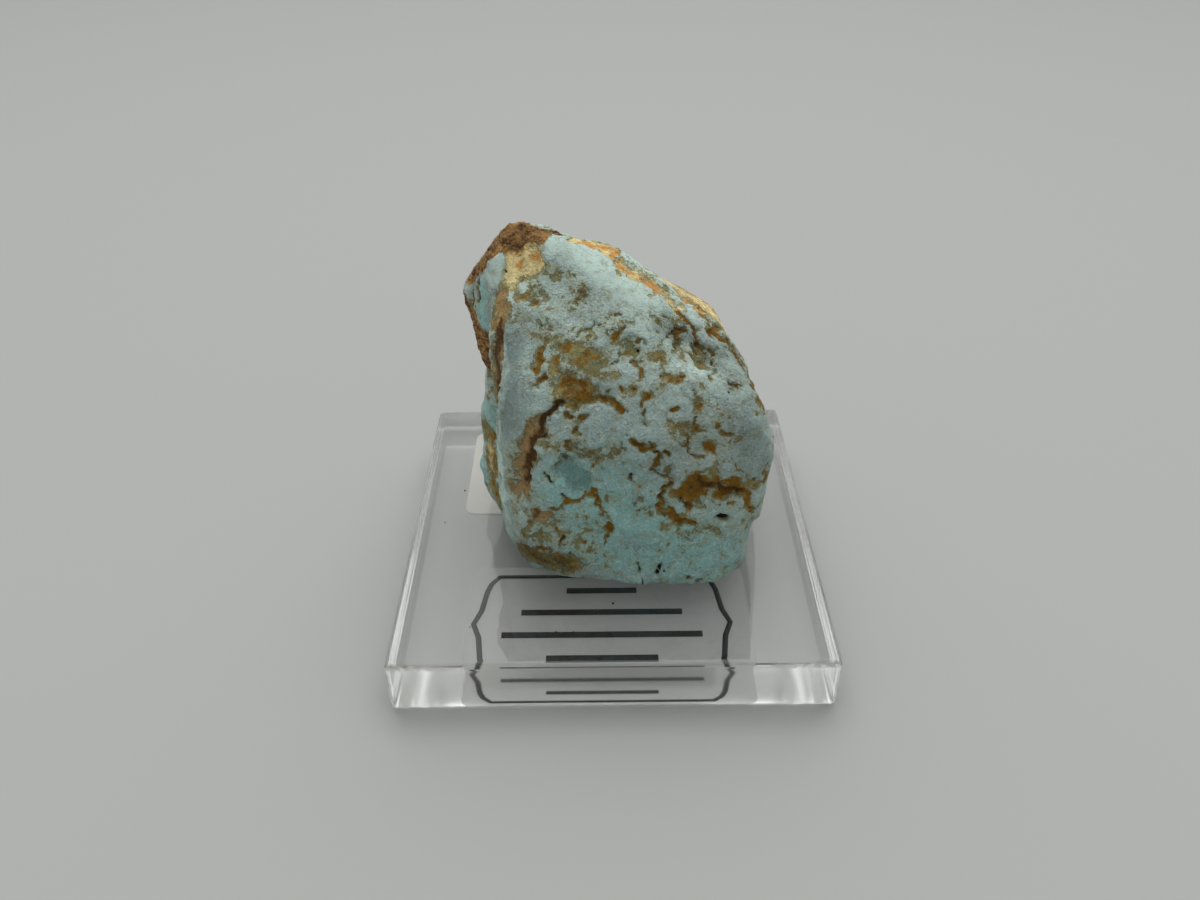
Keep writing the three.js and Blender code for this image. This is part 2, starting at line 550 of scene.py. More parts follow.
    def bare(self, g: Graph, fields: Fields, stain: Socket) -> Socket:
        """Colour the stained rock in the worn places, darker the deeper they are worn, with painted shade
        in the low places of its relief.

        Args:
            g: The material's graph.
            fields: The stone's fields and noises.
            stain: The colour of the lightest stains.

        Returns:
            The rock's colour.
        """
        rusty = g.step(fields.blend(ochre=0.40, edge=-0.7, mottle=1.4, grain=1.0), 0.0, 0.55)
        colour = g.mix(rusty, g.shade(stain, 0.84), self.ochre)
        deep = g.step(fields.blend(edge=-1.0, grain=0.9, lace=1.3), 0.25, 0.90, end=0.66)
        colour = g.mix(deep, colour, self.brown)
        stains = (
            (fields.blend(tan=1.0, lace=0.8), 0.2, 0.7, self.tan),
            (fields.blend(brown=1.0, lace=0.8, grain=0.7), 0.25, 0.85, self.brown),
            (fields.blend(cream=1.0, lace=1.5, grain=1.2), 0.2, 1.0, self.cream),
            (fields.blend(rust=1.0, lace=1.5, grain=0.8), 0.25, 1.0, self.rust),
        )
        for amount, low, high, tone in stains:
            colour = g.mix(g.step(amount, low, high), colour, tone)
        # Painted shade: darker where the lace and grain of the relief are low, and under the painted shade
        # marks.
        return g.shade(colour, fields.blend(1.0, lace=1.1, grain=1.2, dim=-0.28))

    def host(self, g: Graph, fields: Fields) -> Socket:
        """Return the colour of the brown host rock."""
        share = g.step(fields.blend(vein=1.6, grain=0.6), -0.24, 0.24)
        return g.mix(share, self.host_dark, self.host_light)

    def relief(self, g: Graph, fields: Fields) -> Socket:
        """Return the height of the fine relief in millimetres, lower on the smooth places."""
        fine = fields.blend(lace=0.17, grain=0.13, lobes=0.07, beads=0.08, brush=0.13, dust=0.07,
                            flake=0.11)
        return g.times(fine, fields.blend(1.0, smooth=-0.55))


@dataclass(frozen=True)
class AcrylicFinish:
    """Clear cast acrylic: how rough it is, and how deep its saw streaks are in millimetres."""

    name: str
    roughness: float
    streak: float = 0.0
    ior: float = 1.49
    tint: Colour = (0.997, 0.999, 0.998)

    def make(self) -> bpy.types.Material:
        """Build the material.

        Returns:
            The material.
        """
        material, g, shader = new_material(self.name)
        shader.inputs["Base Color"].default_value = opaque(self.tint)
        shader.inputs["Roughness"].default_value = self.roughness
        shader.inputs["IOR"].default_value = self.ior
        shader.inputs["Transmission Weight"].default_value = 1.0
        if self.streak:
            lines = g.noise(g.millimetres((1.0, 1.0, 0.06)), 0.9, 3.0, 0.6, 5.0)
            g.tree.links.new(g.bump(g.times(lines, self.streak)), shader.inputs["Normal"])
        return material


@dataclass(frozen=True)
class FilmFinish:
    """Clear label film with a slight haze."""

    haze: float = 0.42
    colour: Colour = (0.92, 0.93, 0.91)
    cloudiness: float = 1.06

    def make(self) -> bpy.types.Material:
        """Build the material.

        Returns:
            The material.
        """
        material, g, shader = new_material("clear_label_film")
        cloud = g.step(g.noise(g.millimetres(), 0.35, 3.0, 0.5, 2.0), -0.4, 0.4)
        clouded = tuple(min(1.0, part * self.cloudiness) for part in self.colour)
        g.tree.links.new(g.mix(cloud, self.colour, clouded), shader.inputs["Base Color"])
        shader.inputs["Roughness"].default_value = 0.45
        shader.inputs["Alpha"].default_value = self.haze
        return material


@dataclass(frozen=True)
class InkFinish:
    """Black printing ink, slightly uneven."""

    colour: Colour = (0.018, 0.018, 0.020)
    worn: Colour = (0.045, 0.044, 0.043)

    def make(self) -> bpy.types.Material:
        """Build the material.

        Returns:
            The material.
        """
        material, g, shader = new_material("black_printing_ink")
        share = g.step(g.noise(g.millimetres(), 2.2, 3.0, 0.6, 9.0), -0.1, 0.4)
        g.tree.links.new(g.mix(share, self.colour, self.worn), shader.inputs["Base Color"])
        shader.inputs["Roughness"].default_value = 0.5
        return material


@dataclass(frozen=True)
class PaperFinish:
    """Plain cream label paper."""

    colour: Colour = (0.90, 0.90, 0.83)
    fibre: Colour = (0.84, 0.84, 0.76)

    def make(self) -> bpy.types.Material:
        """Build the material.

        Returns:
            The material.
        """
        material, g, shader = new_material("cream_label_paper")
        share = g.step(g.noise(g.millimetres(), 1.6, 4.0, 0.65, 13.0), -0.1, 0.45)
        g.tree.links.new(g.mix(share, self.colour, self.fibre), shader.inputs["Base Color"])
        shader.inputs["Roughness"].default_value = 0.9
        return material


@dataclass(frozen=True)
class CrumbFinish:
    """Dark brown grains that have come off the stone."""

    dark: Colour = (0.05, 0.035, 0.022)
    light: Colour = (0.28, 0.24, 0.17)

    def make(self) -> bpy.types.Material:
        """Build the material.

        Returns:
            The material.
        """
        material, g, shader = new_material("fallen_grains")
        share = g.step(g.noise(g.millimetres(), 0.4, 2.0, 0.5, 17.0), -0.15, 0.15)
        g.tree.links.new(g.mix(share, self.dark, self.light), shader.inputs["Base Color"])
        shader.inputs["Roughness"].default_value = 0.9
        return material


@dataclass(frozen=True)
class FloorFinish:
    """Pale matte studio paper."""

    colour: Colour = (0.475, 0.485, 0.47)

    def make(self) -> bpy.types.Material:
        """Build the material.

        Returns:
            The material.
        """
        material, _, shader = new_material("studio_paper")
        shader.inputs["Base Color"].default_value = opaque(self.colour)
        shader.inputs["Roughness"].default_value = 0.95
        shader.inputs["Specular IOR Level"].default_value = 0.1
        return material


# --------------------------------------------------------------------------------------------------
# The stone
# --------------------------------------------------------------------------------------------------


class Side(Enum):
    """The directions from which marks are laid on the stone: across, up and out of the surface."""

    FRONT = ((1.0, 0.0, 0.0), (0.0, 0.5, 0.866), (0.0, -0.866, 0.5))
    LEFT = ((0.0, -1.0, 0.0), (0.0, 0.0, 1.0), (-1.0, 0.0, 0.0))
    TOP = ((1.0, 0.0, 0.0), (0.0, 1.0, 0.0), (0.0, 0.0, 1.0))


class Look(Enum):
    """What a mark shows: the name of the surface field that it raises, if any."""

    OLIVE = ""
    OCHRE = "ochre"
    BROWN = "brown"
    TAN = "tan"
    RUST = "rust"
    CREAM = "cream"
    HOST = "host"
    PIT = "hollow"
    SMOOTH = "smooth"
    BLUE = "blue"
    MINT = "mint"
    SWELL = "swell"
    # Painted shade: darkens the stone's colour where the mark lies.
    DIM = "dim"


@dataclass(frozen=True)
class Mark:
    """A line or spot on the stone: where it runs, how wide it is and what it does to the skin."""

    look: Look
    width: float
    bare: float
    depth: float
    line: tuple[Point2, ...]
    side: Side = Side.FRONT
    weight: float = 1.0


def stroke(look: Look, width: float, bare: float, depth: float, *line: Point2,
           side: Side = Side.FRONT, weight: float = 1.0) -> Mark:
    """Make one mark along a line.

    Args:
        look: What shows in it.
        width: Half its width.
        bare: How far it wears the skin away.
        depth: How deep it cuts.
        line: Its points on the side's plane.
        side: The side it lies on.
        weight: How strongly its look shows.

    Returns:
        The mark.
    """
    return Mark(look, width, bare, depth, line, side, weight)


def spots(look: Look, width: float, bare: float, depth: float, *places: Point2) -> list[Mark]:
    """Make one round mark at each place on the front; the arguments are those of stroke."""
    return [stroke(look, width, bare, depth, place) for place in places]


def laid_on(side: Side, *marks: Mark) -> list[Mark]:
    """Move marks from the front to another side."""
    return [replace(mark, side=side) for mark in marks]


WORN_BELT = [
    stroke(Look.OLIVE, 2.5, 0.68, 0.10, (-6.3, 38.5), (-4.6, 37.8), (-2.8, 37.1)),
    stroke(Look.OLIVE, 1.6, 0.50, 0.10, (-7.4, 39.8), (-7.6, 37.0), (-6.6, 34.4)),
    stroke(Look.OLIVE, 1.8, 0.34, 0.10, (-7.2, 36.0), (-5.8, 35.0), (-5.0, 32.6)),
    stroke(Look.OLIVE, 2.0, 0.28, 0.10, (-5.4, 40.9), (-1.6, 42.6), (3.8, 43.6), (9.4, 42.6)),
    stroke(Look.OLIVE, 2.8, 0.24, 0.10, (1.0, 39.5), (4.3, 37.6), (7.8, 34.0)),
    stroke(Look.OLIVE, 2.4, 0.28, 0.05, (9.0, 40.4), (13.4, 38.6), (15.6, 37.6)),
    stroke(Look.OLIVE, 2.4, 0.30, 0.05, (-14.2, 49.0), (-10.2, 50.8), (-6.1, 50.3)),
    stroke(Look.OLIVE, 2.0, 0.30, 0.05, (-12.1, 47.5), (-10.5, 45.6)),
    *spots(Look.OLIVE, 2.6, 0.20, 0.05, (-3.5, 46.8), (-1.2, 43.6), (-10.0, 41.0), (14.0, 31.5)),
    stroke(Look.OLIVE, 3.0, 0.20, 0.05, (10.5, 26.6), (14.5, 26.4), (16.8, 24.6)),
    stroke(Look.OLIVE, 2.6, 0.20, 0.05, (-6.0, 27.6), (-5.0, 24.5), (-1.0, 24.0), (3.0, 26.0)),
    stroke(Look.OLIVE, 3.0, 0.14, 0.00, (1.0, 15.5), (8.0, 10.0), (14.5, 10.5)),
    stroke(Look.OLIVE, 3.4, 0.30, 0.05, (-12.5, 12.4), (-9.4, 9.0), (-4.0, 8.0)),
    stroke(Look.OLIVE, 1.8, 0.75, 0.15, (-14.2, 5.8), (-11.0, 5.2), (-8.0, 4.5), (-6.0, 3.7)),
    stroke(Look.BROWN, 1.8, 0.60, 0.15, (-13.6, 5.2), (-11.0, 4.6), (-8.0, 4.0), weight=0.30),
]
FISSURE = [
    stroke(Look.BROWN, 0.70, 1.1, 0.9, (-7.6, 31.1), (-9.2, 29.4), (-10.5, 28.1), weight=1.1),
    stroke(Look.TAN, 1.25, 1.0, 0.8, (-10.2, 28.3), (-11.9, 26.1), (-12.8, 24.5), (-13.4, 22.8)),
    stroke(Look.TAN, 1.40, 1.0, 0.7, (-13.4, 22.8), (-14.0, 20.3), (-14.1, 17.5)),
    stroke(Look.BROWN, 0.85, 1.0, 1.1, (-9.7, 28.6), (-11.3, 25.8), (-12.6, 22.9), (-13.5, 20.4),
           (-13.8, 17.8), weight=0.95),
    stroke(Look.TAN, 2.0, 0.55, 0.2, (-11.5, 27.8), (-13.2, 24.6), (-14.5, 20.5), (-14.4, 17.0)),
    stroke(Look.OLIVE, 0.8, 0.55, 0.2, (-11.6, 24.9), (-9.8, 25.0)),
    stroke(Look.BROWN, 0.75, 0.9, 0.3, (-7.6, 30.9), (-5.4, 30.9), (-3.2, 31.0), (-0.6, 31.2),
           weight=0.45),
    stroke(Look.OCHRE, 0.50, 0.8, 0.2, (-0.6, 31.2), (0.7, 30.8), (1.8, 29.7)),
    stroke(Look.OLIVE, 1.7, 0.62, 0.1, (-7.2, 33.0), (-4.6, 33.3), (-2.4, 32.6)),
    stroke(Look.OCHRE, 0.6, 0.7, 0.1, (-6.8, 32.2), (-4.6, 31.9), (-2.4, 32.1)),
    stroke(Look.TAN, 1.2, 0.60, 0.1, (-14.1, 15.6), (-12.9, 13.2)),
    stroke(Look.BROWN, 0.9, 0.75, 0.2, (-13.3, 11.6), (-12.4, 12.6), (-11.9, 13.4), weight=0.7),
    stroke(Look.OLIVE, 0.9, 0.55, 0.1, (-13.6, 9.6), (-11.6, 9.9), (-10.2, 9.4)),
]
OCHRE_FIELD = [
    stroke(Look.OCHRE, 0.75, 0.80, 0.2, (-5.9, 35.2), (-5.1, 34.1), weight=1.2),
    *spots(Look.OCHRE, 0.8, 0.6, 0.2, (-7.0, 35.9), (-6.7, 33.2), (-4.2, 36.2)),
    stroke(Look.OCHRE, 0.55, 0.70, 0.2, (-7.6, 37.6), (-7.2, 39.2), (-6.6, 39.8)),
    stroke(Look.BROWN, 0.32, 0.66, 0.2, (-6.6, 39.8), (-5.4, 40.9), (-4.1, 42.0), (-3.1, 42.8),
           (-1.6, 43.2), weight=0.4),
    stroke(Look.OCHRE, 0.75, 0.65, 0.2, (-9.9, 39.9), (-10.7, 37.6), (-11.0, 36.0)),
    stroke(Look.BROWN, 0.50, 0.80, 0.3, (-9.4, 34.8), (-10.6, 34.6), (-11.7, 33.4), weight=0.6),
    stroke(Look.BROWN, 0.26, 0.70, 0.2, (2.2, 38.2), (0.9, 37.9), (0.0, 37.0), weight=0.5),
    stroke(Look.OLIVE, 0.8, 0.55, 0.2, (1.9, 37.8), (3.6, 38.4)),
    stroke(Look.OCHRE, 0.60, 0.75, 0.2, (1.8, 41.6), (0.9, 41.0), (0.4, 40.3)),
    stroke(Look.OCHRE, 0.40, 0.70, 0.2, (3.6, 39.6), (4.2, 40.1), (5.2, 39.8)),
    *spots(Look.OCHRE, 0.50, 0.65, 0.2, (3.5, 36.7), (4.2, 34.4), (7.8, 35.1), (1.3, 33.4),
            (3.5, 32.5), (14.9, 34.8), (17.6, 34.1), (12.5, 32.3), (12.8, 31.0), (12.2, 28.2)),
    stroke(Look.OCHRE, 0.65, 0.70, 0.2, (4.5, 35.9), (4.5, 35.0)),
    stroke(Look.OCHRE, 0.50, 0.70, 0.2, (5.1, 31.6), (4.5, 30.6)),
    stroke(Look.OCHRE, 0.50, 0.75, 0.2, (9.9, 30.3), (8.8, 29.6)),
    stroke(Look.OCHRE, 0.50, 0.65, 0.2, (5.0, 29.2), (5.1, 28.4)),
    stroke(Look.OCHRE, 0.70, 0.55, 0.1, (9.2, 34.3), (10.4, 34.2)),
    stroke(Look.OCHRE, 0.40, 0.65, 0.3, (8.3, 41.0), (8.8, 41.4), (9.8, 41.8), (10.9, 41.7),
           (10.4, 40.8)),
    stroke(Look.BROWN, 0.50, 0.75, 0.3, (10.4, 40.6), (10.0, 39.8), (9.8, 39.2), weight=0.5),
    *spots(Look.OCHRE, 0.42, 0.60, 0.1, (8.6, 43.2), (1.1, 44.1), (0.2, 44.1), (13.5, 40.9),
            (-9.6, 43.2)),
    *spots(Look.OLIVE, 0.70, 0.60, 0.2, (6.0, 44.5), (4.0, 43.9), (7.4, 36.6), (15.6, 35.6)),
    *spots(Look.OCHRE, 0.90, 0.50, 0.1, (-3.3, 47.3), (-4.4, 46.6), (-12.3, 47.4), (-11.0, 45.8),
            (-5.6, 50.4)),
    stroke(Look.OLIVE, 1.2, 0.60, 0.7, (13.3, 38.9), (13.8, 38.0), (14.2, 36.8)),
    stroke(Look.BROWN, 0.30, 0.70, 0.2, (12.5, 38.7), (13.0, 37.4), (14.0, 36.4), weight=0.5),
    stroke(Look.OCHRE, 0.40, 0.65, 0.2, (15.2, 38.6), (15.9, 37.8), (15.4, 37.0)),
    *spots(Look.OCHRE, 0.55, 0.75, 0.2, (13.1, 27.1), (15.7, 27.1)),
    stroke(Look.OCHRE, 0.50, 0.75, 0.2, (16.6, 26.3), (17.7, 26.1)),
    stroke(Look.OCHRE, 0.75, 0.65, 0.2, (13.8, 24.6), (15.0, 23.9)),
    stroke(Look.OCHRE, 0.35, 0.55, 0.1, (11.4, 26.0), (11.0, 24.6), (12.2, 23.2), (13.2, 22.4)),
    stroke(Look.OCHRE, 0.50, 0.75, 0.3, (8.0, 23.9), (8.6, 23.0)),
    stroke(Look.OCHRE, 0.35, 0.7, 0.2, (17.3, 34.2), (18.1, 33.9), (19.9, 33.1)),
    stroke(Look.OCHRE, 1.0, 0.6, 0.0, (20.4, 38.4), (21.9, 34.2), (23.2, 29.5)),
    stroke(Look.OCHRE, 0.7, 0.8, 0.0, (23.9, 21.2), (23.6, 18.4)),
    *spots(Look.OCHRE, 0.60, 0.80, 0.3, (-6.4, 29.3), (-4.2, 29.1), (-5.6, 27.2)),
    stroke(Look.OCHRE, 0.45, 0.65, 0.2, (-6.7, 25.6), (-6.6, 24.4), (-6.1, 23.5)),
    stroke(Look.OLIVE, 0.60, 0.55, 0.2, (-6.1, 23.5), (-4.8, 22.3), (-3.1, 23.3)),
    *spots(Look.OLIVE, 0.50, 0.55, 0.1, (-4.7, 26.4), (0.9, 23.9), (-2.4, 21.4)),
    stroke(Look.OCHRE, 0.30, 0.60, 0.2, (2.9, 25.7), (1.8, 25.2), (1.5, 24.4), (2.4, 23.4)),
]
DRIP = [
    stroke(Look.OCHRE, 0.65, 1.0, 0.5, (3.6, 24.7), (4.8, 24.5), (6.0, 24.8)),
    stroke(Look.OCHRE, 0.45, 0.85, 0.4, (6.3, 23.7), (6.8, 22.5), (6.7, 21.3)),
    stroke(Look.OCHRE, 0.70, 0.85, 0.4, (6.5, 21.3), (6.2, 20.5)),
    stroke(Look.BROWN, 0.35, 0.80, 0.4, (6.4, 20.3), (7.5, 20.0), (8.7, 19.3), (9.0, 18.9), weight=0.7),
    stroke(Look.BROWN, 0.60, 0.60, 0.3, (8.8, 20.6), (9.0, 18.9), (8.6, 17.9), weight=0.5),
    stroke(Look.BROWN, 0.45, 0.85, 0.4, (8.6, 17.9), (8.2, 17.1), (7.6, 15.8), weight=0.7),
    stroke(Look.OCHRE, 0.50, 0.90, 0.5, (7.6, 15.6), (8.3, 13.9), (9.4, 12.6), (10.6, 11.9)),
    stroke(Look.OCHRE, 0.55, 0.85, 0.3, (10.9, 11.9), (12.8, 11.8)),
]
CAVITY = [
    stroke(Look.OCHRE, 1.8, 0.95, 1.1, (11.4, 16.2), (12.4, 16.6), (13.6, 17.6), weight=1.5),
    stroke(Look.OLIVE, 1.5, 0.70, 0.5, (12.8, 18.8), (15.6, 19.2)),
    stroke(Look.OCHRE, 0.9, 0.85, 0.5, (14.0, 18.8), (17.0, 18.3), (19.8, 17.8), weight=1.2),
    stroke(Look.BROWN, 0.65, 1.1, 1.2, (14.0, 18.1), (16.1, 17.3), (18.3, 16.9), (20.5, 16.6),
           weight=0.9),
    stroke(Look.OCHRE, 0.50, 0.8, 0.3, (20.5, 16.6), (21.5, 15.2), (22.2, 13.4)),
    stroke(Look.OCHRE, 0.55, 0.8, 0.6, (16.0, 16.2), (18.2, 16.4)),
    stroke(Look.OLIVE, 0.9, 0.65, 0.4, (14.7, 19.3), (17.2, 19.0), (19.7, 18.4), (22.2, 17.8)),
    stroke(Look.BROWN, 0.30, 0.70, 0.3, (10.4, 15.2), (11.2, 14.6), (13.0, 14.8)),
]
LOWER_STAINS = [
    stroke(Look.OCHRE, 0.45, 0.85, 0.2, (-9.2, 14.0), (-7.9, 14.4), (-6.8, 15.4), (-5.7, 16.1),
           (-4.1, 16.6)),
    stroke(Look.OCHRE, 0.60, 0.85, 0.2, (-4.1, 16.6), (-2.7, 16.5), (-2.0, 15.3), (-1.7, 13.8)),
    stroke(Look.OCHRE, 0.45, 0.85, 0.2, (-1.2, 13.0), (-0.4, 11.9), (-0.7, 11.0), (0.0, 10.1)),
    stroke(Look.TAN, 1.0, 0.70, 0.1, (-13.0, 13.4), (-11.2, 12.2), (-9.8, 12.8)),
    stroke(Look.BLUE, 2.4, 0.0, 0.0, (-5.6, 13.0), (-4.4, 10.6), weight=1.1),
    stroke(Look.OCHRE, 0.35, 0.70, 0.1, (-0.7, 9.0), (-1.1, 8.0)),
    *spots(Look.OCHRE, 0.34, 0.65, 0.1, (5.7, 13.0), (8.8, 7.9), (12.9, 7.3), (-2.2, 5.9),
            (-4.0, 8.0), (-9.4, 12.4), (-8.8, 10.6), (-11.4, 10.0), (-7.8, 8.1), (19.1, 2.8),
            (21.4, 7.1), (18.6, 14.6)),
    stroke(Look.OCHRE, 0.25, 0.55, 0.2, (3.1, 15.8), (3.4, 14.1), (4.9, 13.9), (6.3, 14.1)),
    stroke(Look.OLIVE, 0.50, 0.50, 0.1, (14.8, 10.2), (16.4, 10.3)),
    stroke(Look.BROWN, 0.26, 0.80, 0.3, (-9.9, 19.9), (-9.3, 18.9)),
    stroke(Look.BROWN, 0.26, 0.70, 0.3, (3.2, 20.1), (3.2, 18.9)),
    stroke(Look.BROWN, 0.26, 0.70, 0.2, (-7.9, 17.1), (-7.1, 15.8)),
    stroke(Look.BROWN, 0.24, 0.75, 0.4, (4.3, 4.6), (4.7, 2.7), (5.4, 1.0)),
    stroke(Look.BROWN, 0.30, 0.65, 0.2, (12.9, 1.6), (14.0, 1.2), (15.0, 1.4)),
    stroke(Look.OCHRE, 0.45, 0.65, 0.2, (-14.6, 6.9), (-12.1, 7.0), (-9.8, 7.0), (-8.6, 6.2)),
    stroke(Look.BROWN, 0.30, 0.75, 0.2, (-7.4, 9.0), (-8.0, 7.8), (-7.8, 7.0)),
]
# Small pits cut into the stone; their near-black colour is painted shade.
PITS = [
    stroke(Look.PIT, 0.52, 0.2, 0.9, (16.9, 12.5), (18.0, 12.2)),
    stroke(Look.PIT, 0.42, 0.2, 0.8, (7.4, 2.6), (7.8, 3.6)),
    *spots(Look.PIT, 0.30, 0.0, 0.3, (8.3, 4.1), (8.7, 3.1), (16.9, 12.6), (4.0, 38.7), (17.6, 32.4),
            (-15.9, 50.7), (-6.6, 6.4), (10.9, 15.2), (13.5, 14.0)),
]
CROWN = [
    stroke(Look.RUST, 0.9, 0.9, 0.2, (1.2, 51.4), (3.4, 50.9)),
    stroke(Look.RUST, 1.0, 1.0, 0.2, (5.2, 49.4), (7.4, 47.9), weight=1.3),
    stroke(Look.CREAM, 1.7, 0.80, 0.1, (1.2, 51.4), (3.8, 50.4), (7.4, 47.9)),
    stroke(Look.OCHRE, 0.7, 0.9, 0.3, (12.5, 46.2), (14.1, 45.5), (15.9, 43.0), (17.1, 41.1),
           (19.3, 39.7)),
    stroke(Look.CREAM, 1.0, 0.5, 0.0, (8.3, 46.5), (11.3, 45.3)),
    stroke(Look.RUST, 0.55, 1.1, 0.2, (11.4, 47.1), (12.9, 46.4), (13.9, 45.3), weight=1.3),
    stroke(Look.OCHRE, 0.40, 1.0, 0.2, (15.0, 43.3), (16.5, 41.6), (18.0, 39.9), (20.2, 37.4)),
    stroke(Look.BROWN, 0.7, 1.0, 0.3, (-9.4, 57.6), (-6.2, 56.6), (-4.4, 56.4)),
    stroke(Look.CREAM, 1.9, 1.3, 0.1, (-16.4, 50.8), (-14.2, 51.7), (-11.4, 52.4), weight=1.5),
    stroke(Look.CREAM, 1.2, 1.0, 0.1, (-15.4, 50.6), (-14.6, 49.0), weight=1.2),
    stroke(Look.RUST, 0.6, 0.9, 0.1, (-13.6, 51.6), (-11.4, 52.8), (-9.9, 54.2), weight=1.2),
    stroke(Look.RUST, 1.4, 1.0, 0.0, (-15.6, 53.4), (-12.8, 54.7), (-10.0, 55.9), weight=0.6),
    stroke(Look.HOST, 1.3, 0.9, 0.0, (-14.7, 4.6), (-12.5, 4.1), (-10.0, 4.1), (-8.2, 3.7),
           side=Side.TOP),
    stroke(Look.BROWN, 0.8, 0.9, 0.0, (-8.0, 3.6), (-6.3, 3.9), side=Side.TOP),
    stroke(Look.CREAM, 1.2, 0.9, 0.0, (-5.5, 4.2), (-3.0, 5.0), (-0.7, 4.2), side=Side.TOP, weight=1.2),
    stroke(Look.RUST, 0.5, 0.9, 0.0, (-4.8, 4.0), (-3.0, 4.8), (-1.6, 4.4), side=Side.TOP, weight=1.1),
    stroke(Look.OCHRE, 0.7, 0.9, 0.1, (8.1, 2.6), (10.2, -0.4), (12.3, -2.1), (13.7, -5.0),
           side=Side.TOP),
    stroke(Look.HOST, 1.3, 0.6, 0.8, (-11.4, 57.7), (-10.0, 57.6)),
    stroke(Look.CREAM, 1.2, 1.2, 0.0, (-5.3, 55.9), (-3.0, 55.4), (0.2, 54.4), weight=1.3),
    stroke(Look.RUST, 0.5, 1.2, 0.2, (-4.6, 56.2), (-2.6, 55.3), (-0.4, 54.9), (1.4, 53.8), weight=1.4),
    *spots(Look.BROWN, 0.50, 1.1, 0.2, (-16.6, 50.9), (-13.4, 49.9)),
    stroke(Look.HOST, 2.5, 0.9, 0.0, (-17.5, 56.0), (-14.8, 55.8), (-11.5, 56.4)),
]
VEIN = [
    stroke(Look.TAN, 1.0, 1.0, 0.3, (-16.5, 47.4), (-16.7, 43.4), (-16.9, 39.7), (-17.3, 35.9),
           (-18.1, 31.8)),
    stroke(Look.BROWN, 0.5, 0.9, 0.5, (-16.7, 43.4), (-17.0, 39.7), (-17.5, 35.9),
           (-18.3, 31.8), weight=0.9),
    stroke(Look.TAN, 2.0, 1.1, 0.5, (5.4, 55.0), (7.0, 52.0), (8.6, 48.5), (9.2, 45.0), (8.6, 41.0),
           (7.4, 37.5), side=Side.LEFT),
    stroke(Look.BROWN, 1.5, 1.1, 0.7, (7.2, 51.0), (8.4, 46.5), (8.6, 43.0), (8.0, 39.0),
           side=Side.LEFT, weight=1.2),
    stroke(Look.MINT, 0.5, -0.3, -0.2, (-15.9, 41.5), (-15.7, 36.0), (-16.4, 30.0), (-17.6, 24.0),
           (-17.0, 17.0), (-16.6, 11.0)),
]
SMOOTH_PLACES = [
    stroke(Look.SMOOTH, 1.5, -0.7, 0.0, (-14.7, 38.8), (-14.8, 31.5), (-15.6, 26.6)),
    stroke(Look.SMOOTH, 1.4, -0.5, 1.5, (-6.9, 21.2), (-5.6, 19.6), (-4.6, 18.7)),
    stroke(Look.OLIVE, 0.8, 1.10, 1.3, (-7.4, 21.9), (-6.6, 21.7)),
    stroke(Look.SMOOTH, 1.4, -0.5, 0.3, (0.4, 13.3), (3.4, 12.2), (5.4, 11.0)),
    stroke(Look.SMOOTH, 2.6, -0.6, 0.0, (-8.0, 54.6), (-4.0, 52.6), (0.0, 48.8), (5.0, 46.6)),
]
SWELLS = [
    stroke(Look.OLIVE, 2.6, 0.0, 0.9, (22.6, 1.5), (23.6, 5.0), (24.0, 9.0)),
    stroke(Look.SWELL, 3.4, 0.0, 0.0, (5.0, 0.4), (9.0, -0.6), (13.5, -0.6), weight=1.1),
    stroke(Look.SWELL, 2.6, 0.0, 0.0, (-8.5, 50.0), (-5.5, 47.0), (-3.0, 44.0),
           side=Side.LEFT, weight=1.1),
    stroke(Look.SWELL, 1.5, 0.0, 0.0, (-5.6, 18.6), side=Side.LEFT, weight=0.6),
]
TONES_AND_SHADE = [
    stroke(Look.BLUE, 9.0, 0.0, 0.0, (-4.0, 16.0), (4.0, 9.0), (15.0, 4.0)),
    stroke(Look.BLUE, 1.6, 0.0, 0.0, (-6.4, 20.6), (-4.8, 18.8)),
    stroke(Look.BLUE, 1.6, 0.0, 0.0, (-6.6, 6.4), (3.0, 4.0)),
    stroke(Look.MINT, 3.6, 0.0, 0.0, (-9.0, 55.0), (-3.0, 53.0), (4.0, 48.0), (10.0, 46.0)),
    # Painted shade: darkening on the undercut bottom-left, down the left strip, over the right shoulder,
    # across the upper front and centre, and in the scoop hollow.
    stroke(Look.DIM, 2.2, 0.0, 0.0, (-14.0, 5.6), (-11.0, 4.8), (-7.5, 3.8), weight=1.7),
    stroke(Look.DIM, 1.9, 0.0, 0.0, (-14.4, 41.0), (-14.6, 34.0), (-15.6, 27.0), weight=1.4),
    stroke(Look.DIM, 3.8, 0.0, 0.0, (8.0, 42.0), (14.0, 40.0), (18.6, 36.0), (20.8, 23.0), weight=1.3),
    stroke(Look.DIM, 2.8, 0.0, 0.0, (8.6, 42.0), (12.8, 40.4), (16.4, 37.6), weight=2.1),
    stroke(Look.DIM, 1.8, 0.0, 0.0, (-6.6, 34.8), (-4.6, 33.0), (-1.8, 32.4), weight=1.2),
    stroke(Look.DIM, 3.6, 0.0, 0.0, (-9.0, 50.0), (-3.0, 47.0), (3.0, 43.6), weight=1.0),
    stroke(Look.DIM, 5.0, 0.0, 0.0, (-4.0, 25.0), (3.0, 21.0), (12.0, 26.0), weight=0.7),
    stroke(Look.DIM, 1.5, 0.0, 0.0, (-7.0, 21.6), (-5.6, 19.6), (-4.8, 18.8), weight=1.5),
]
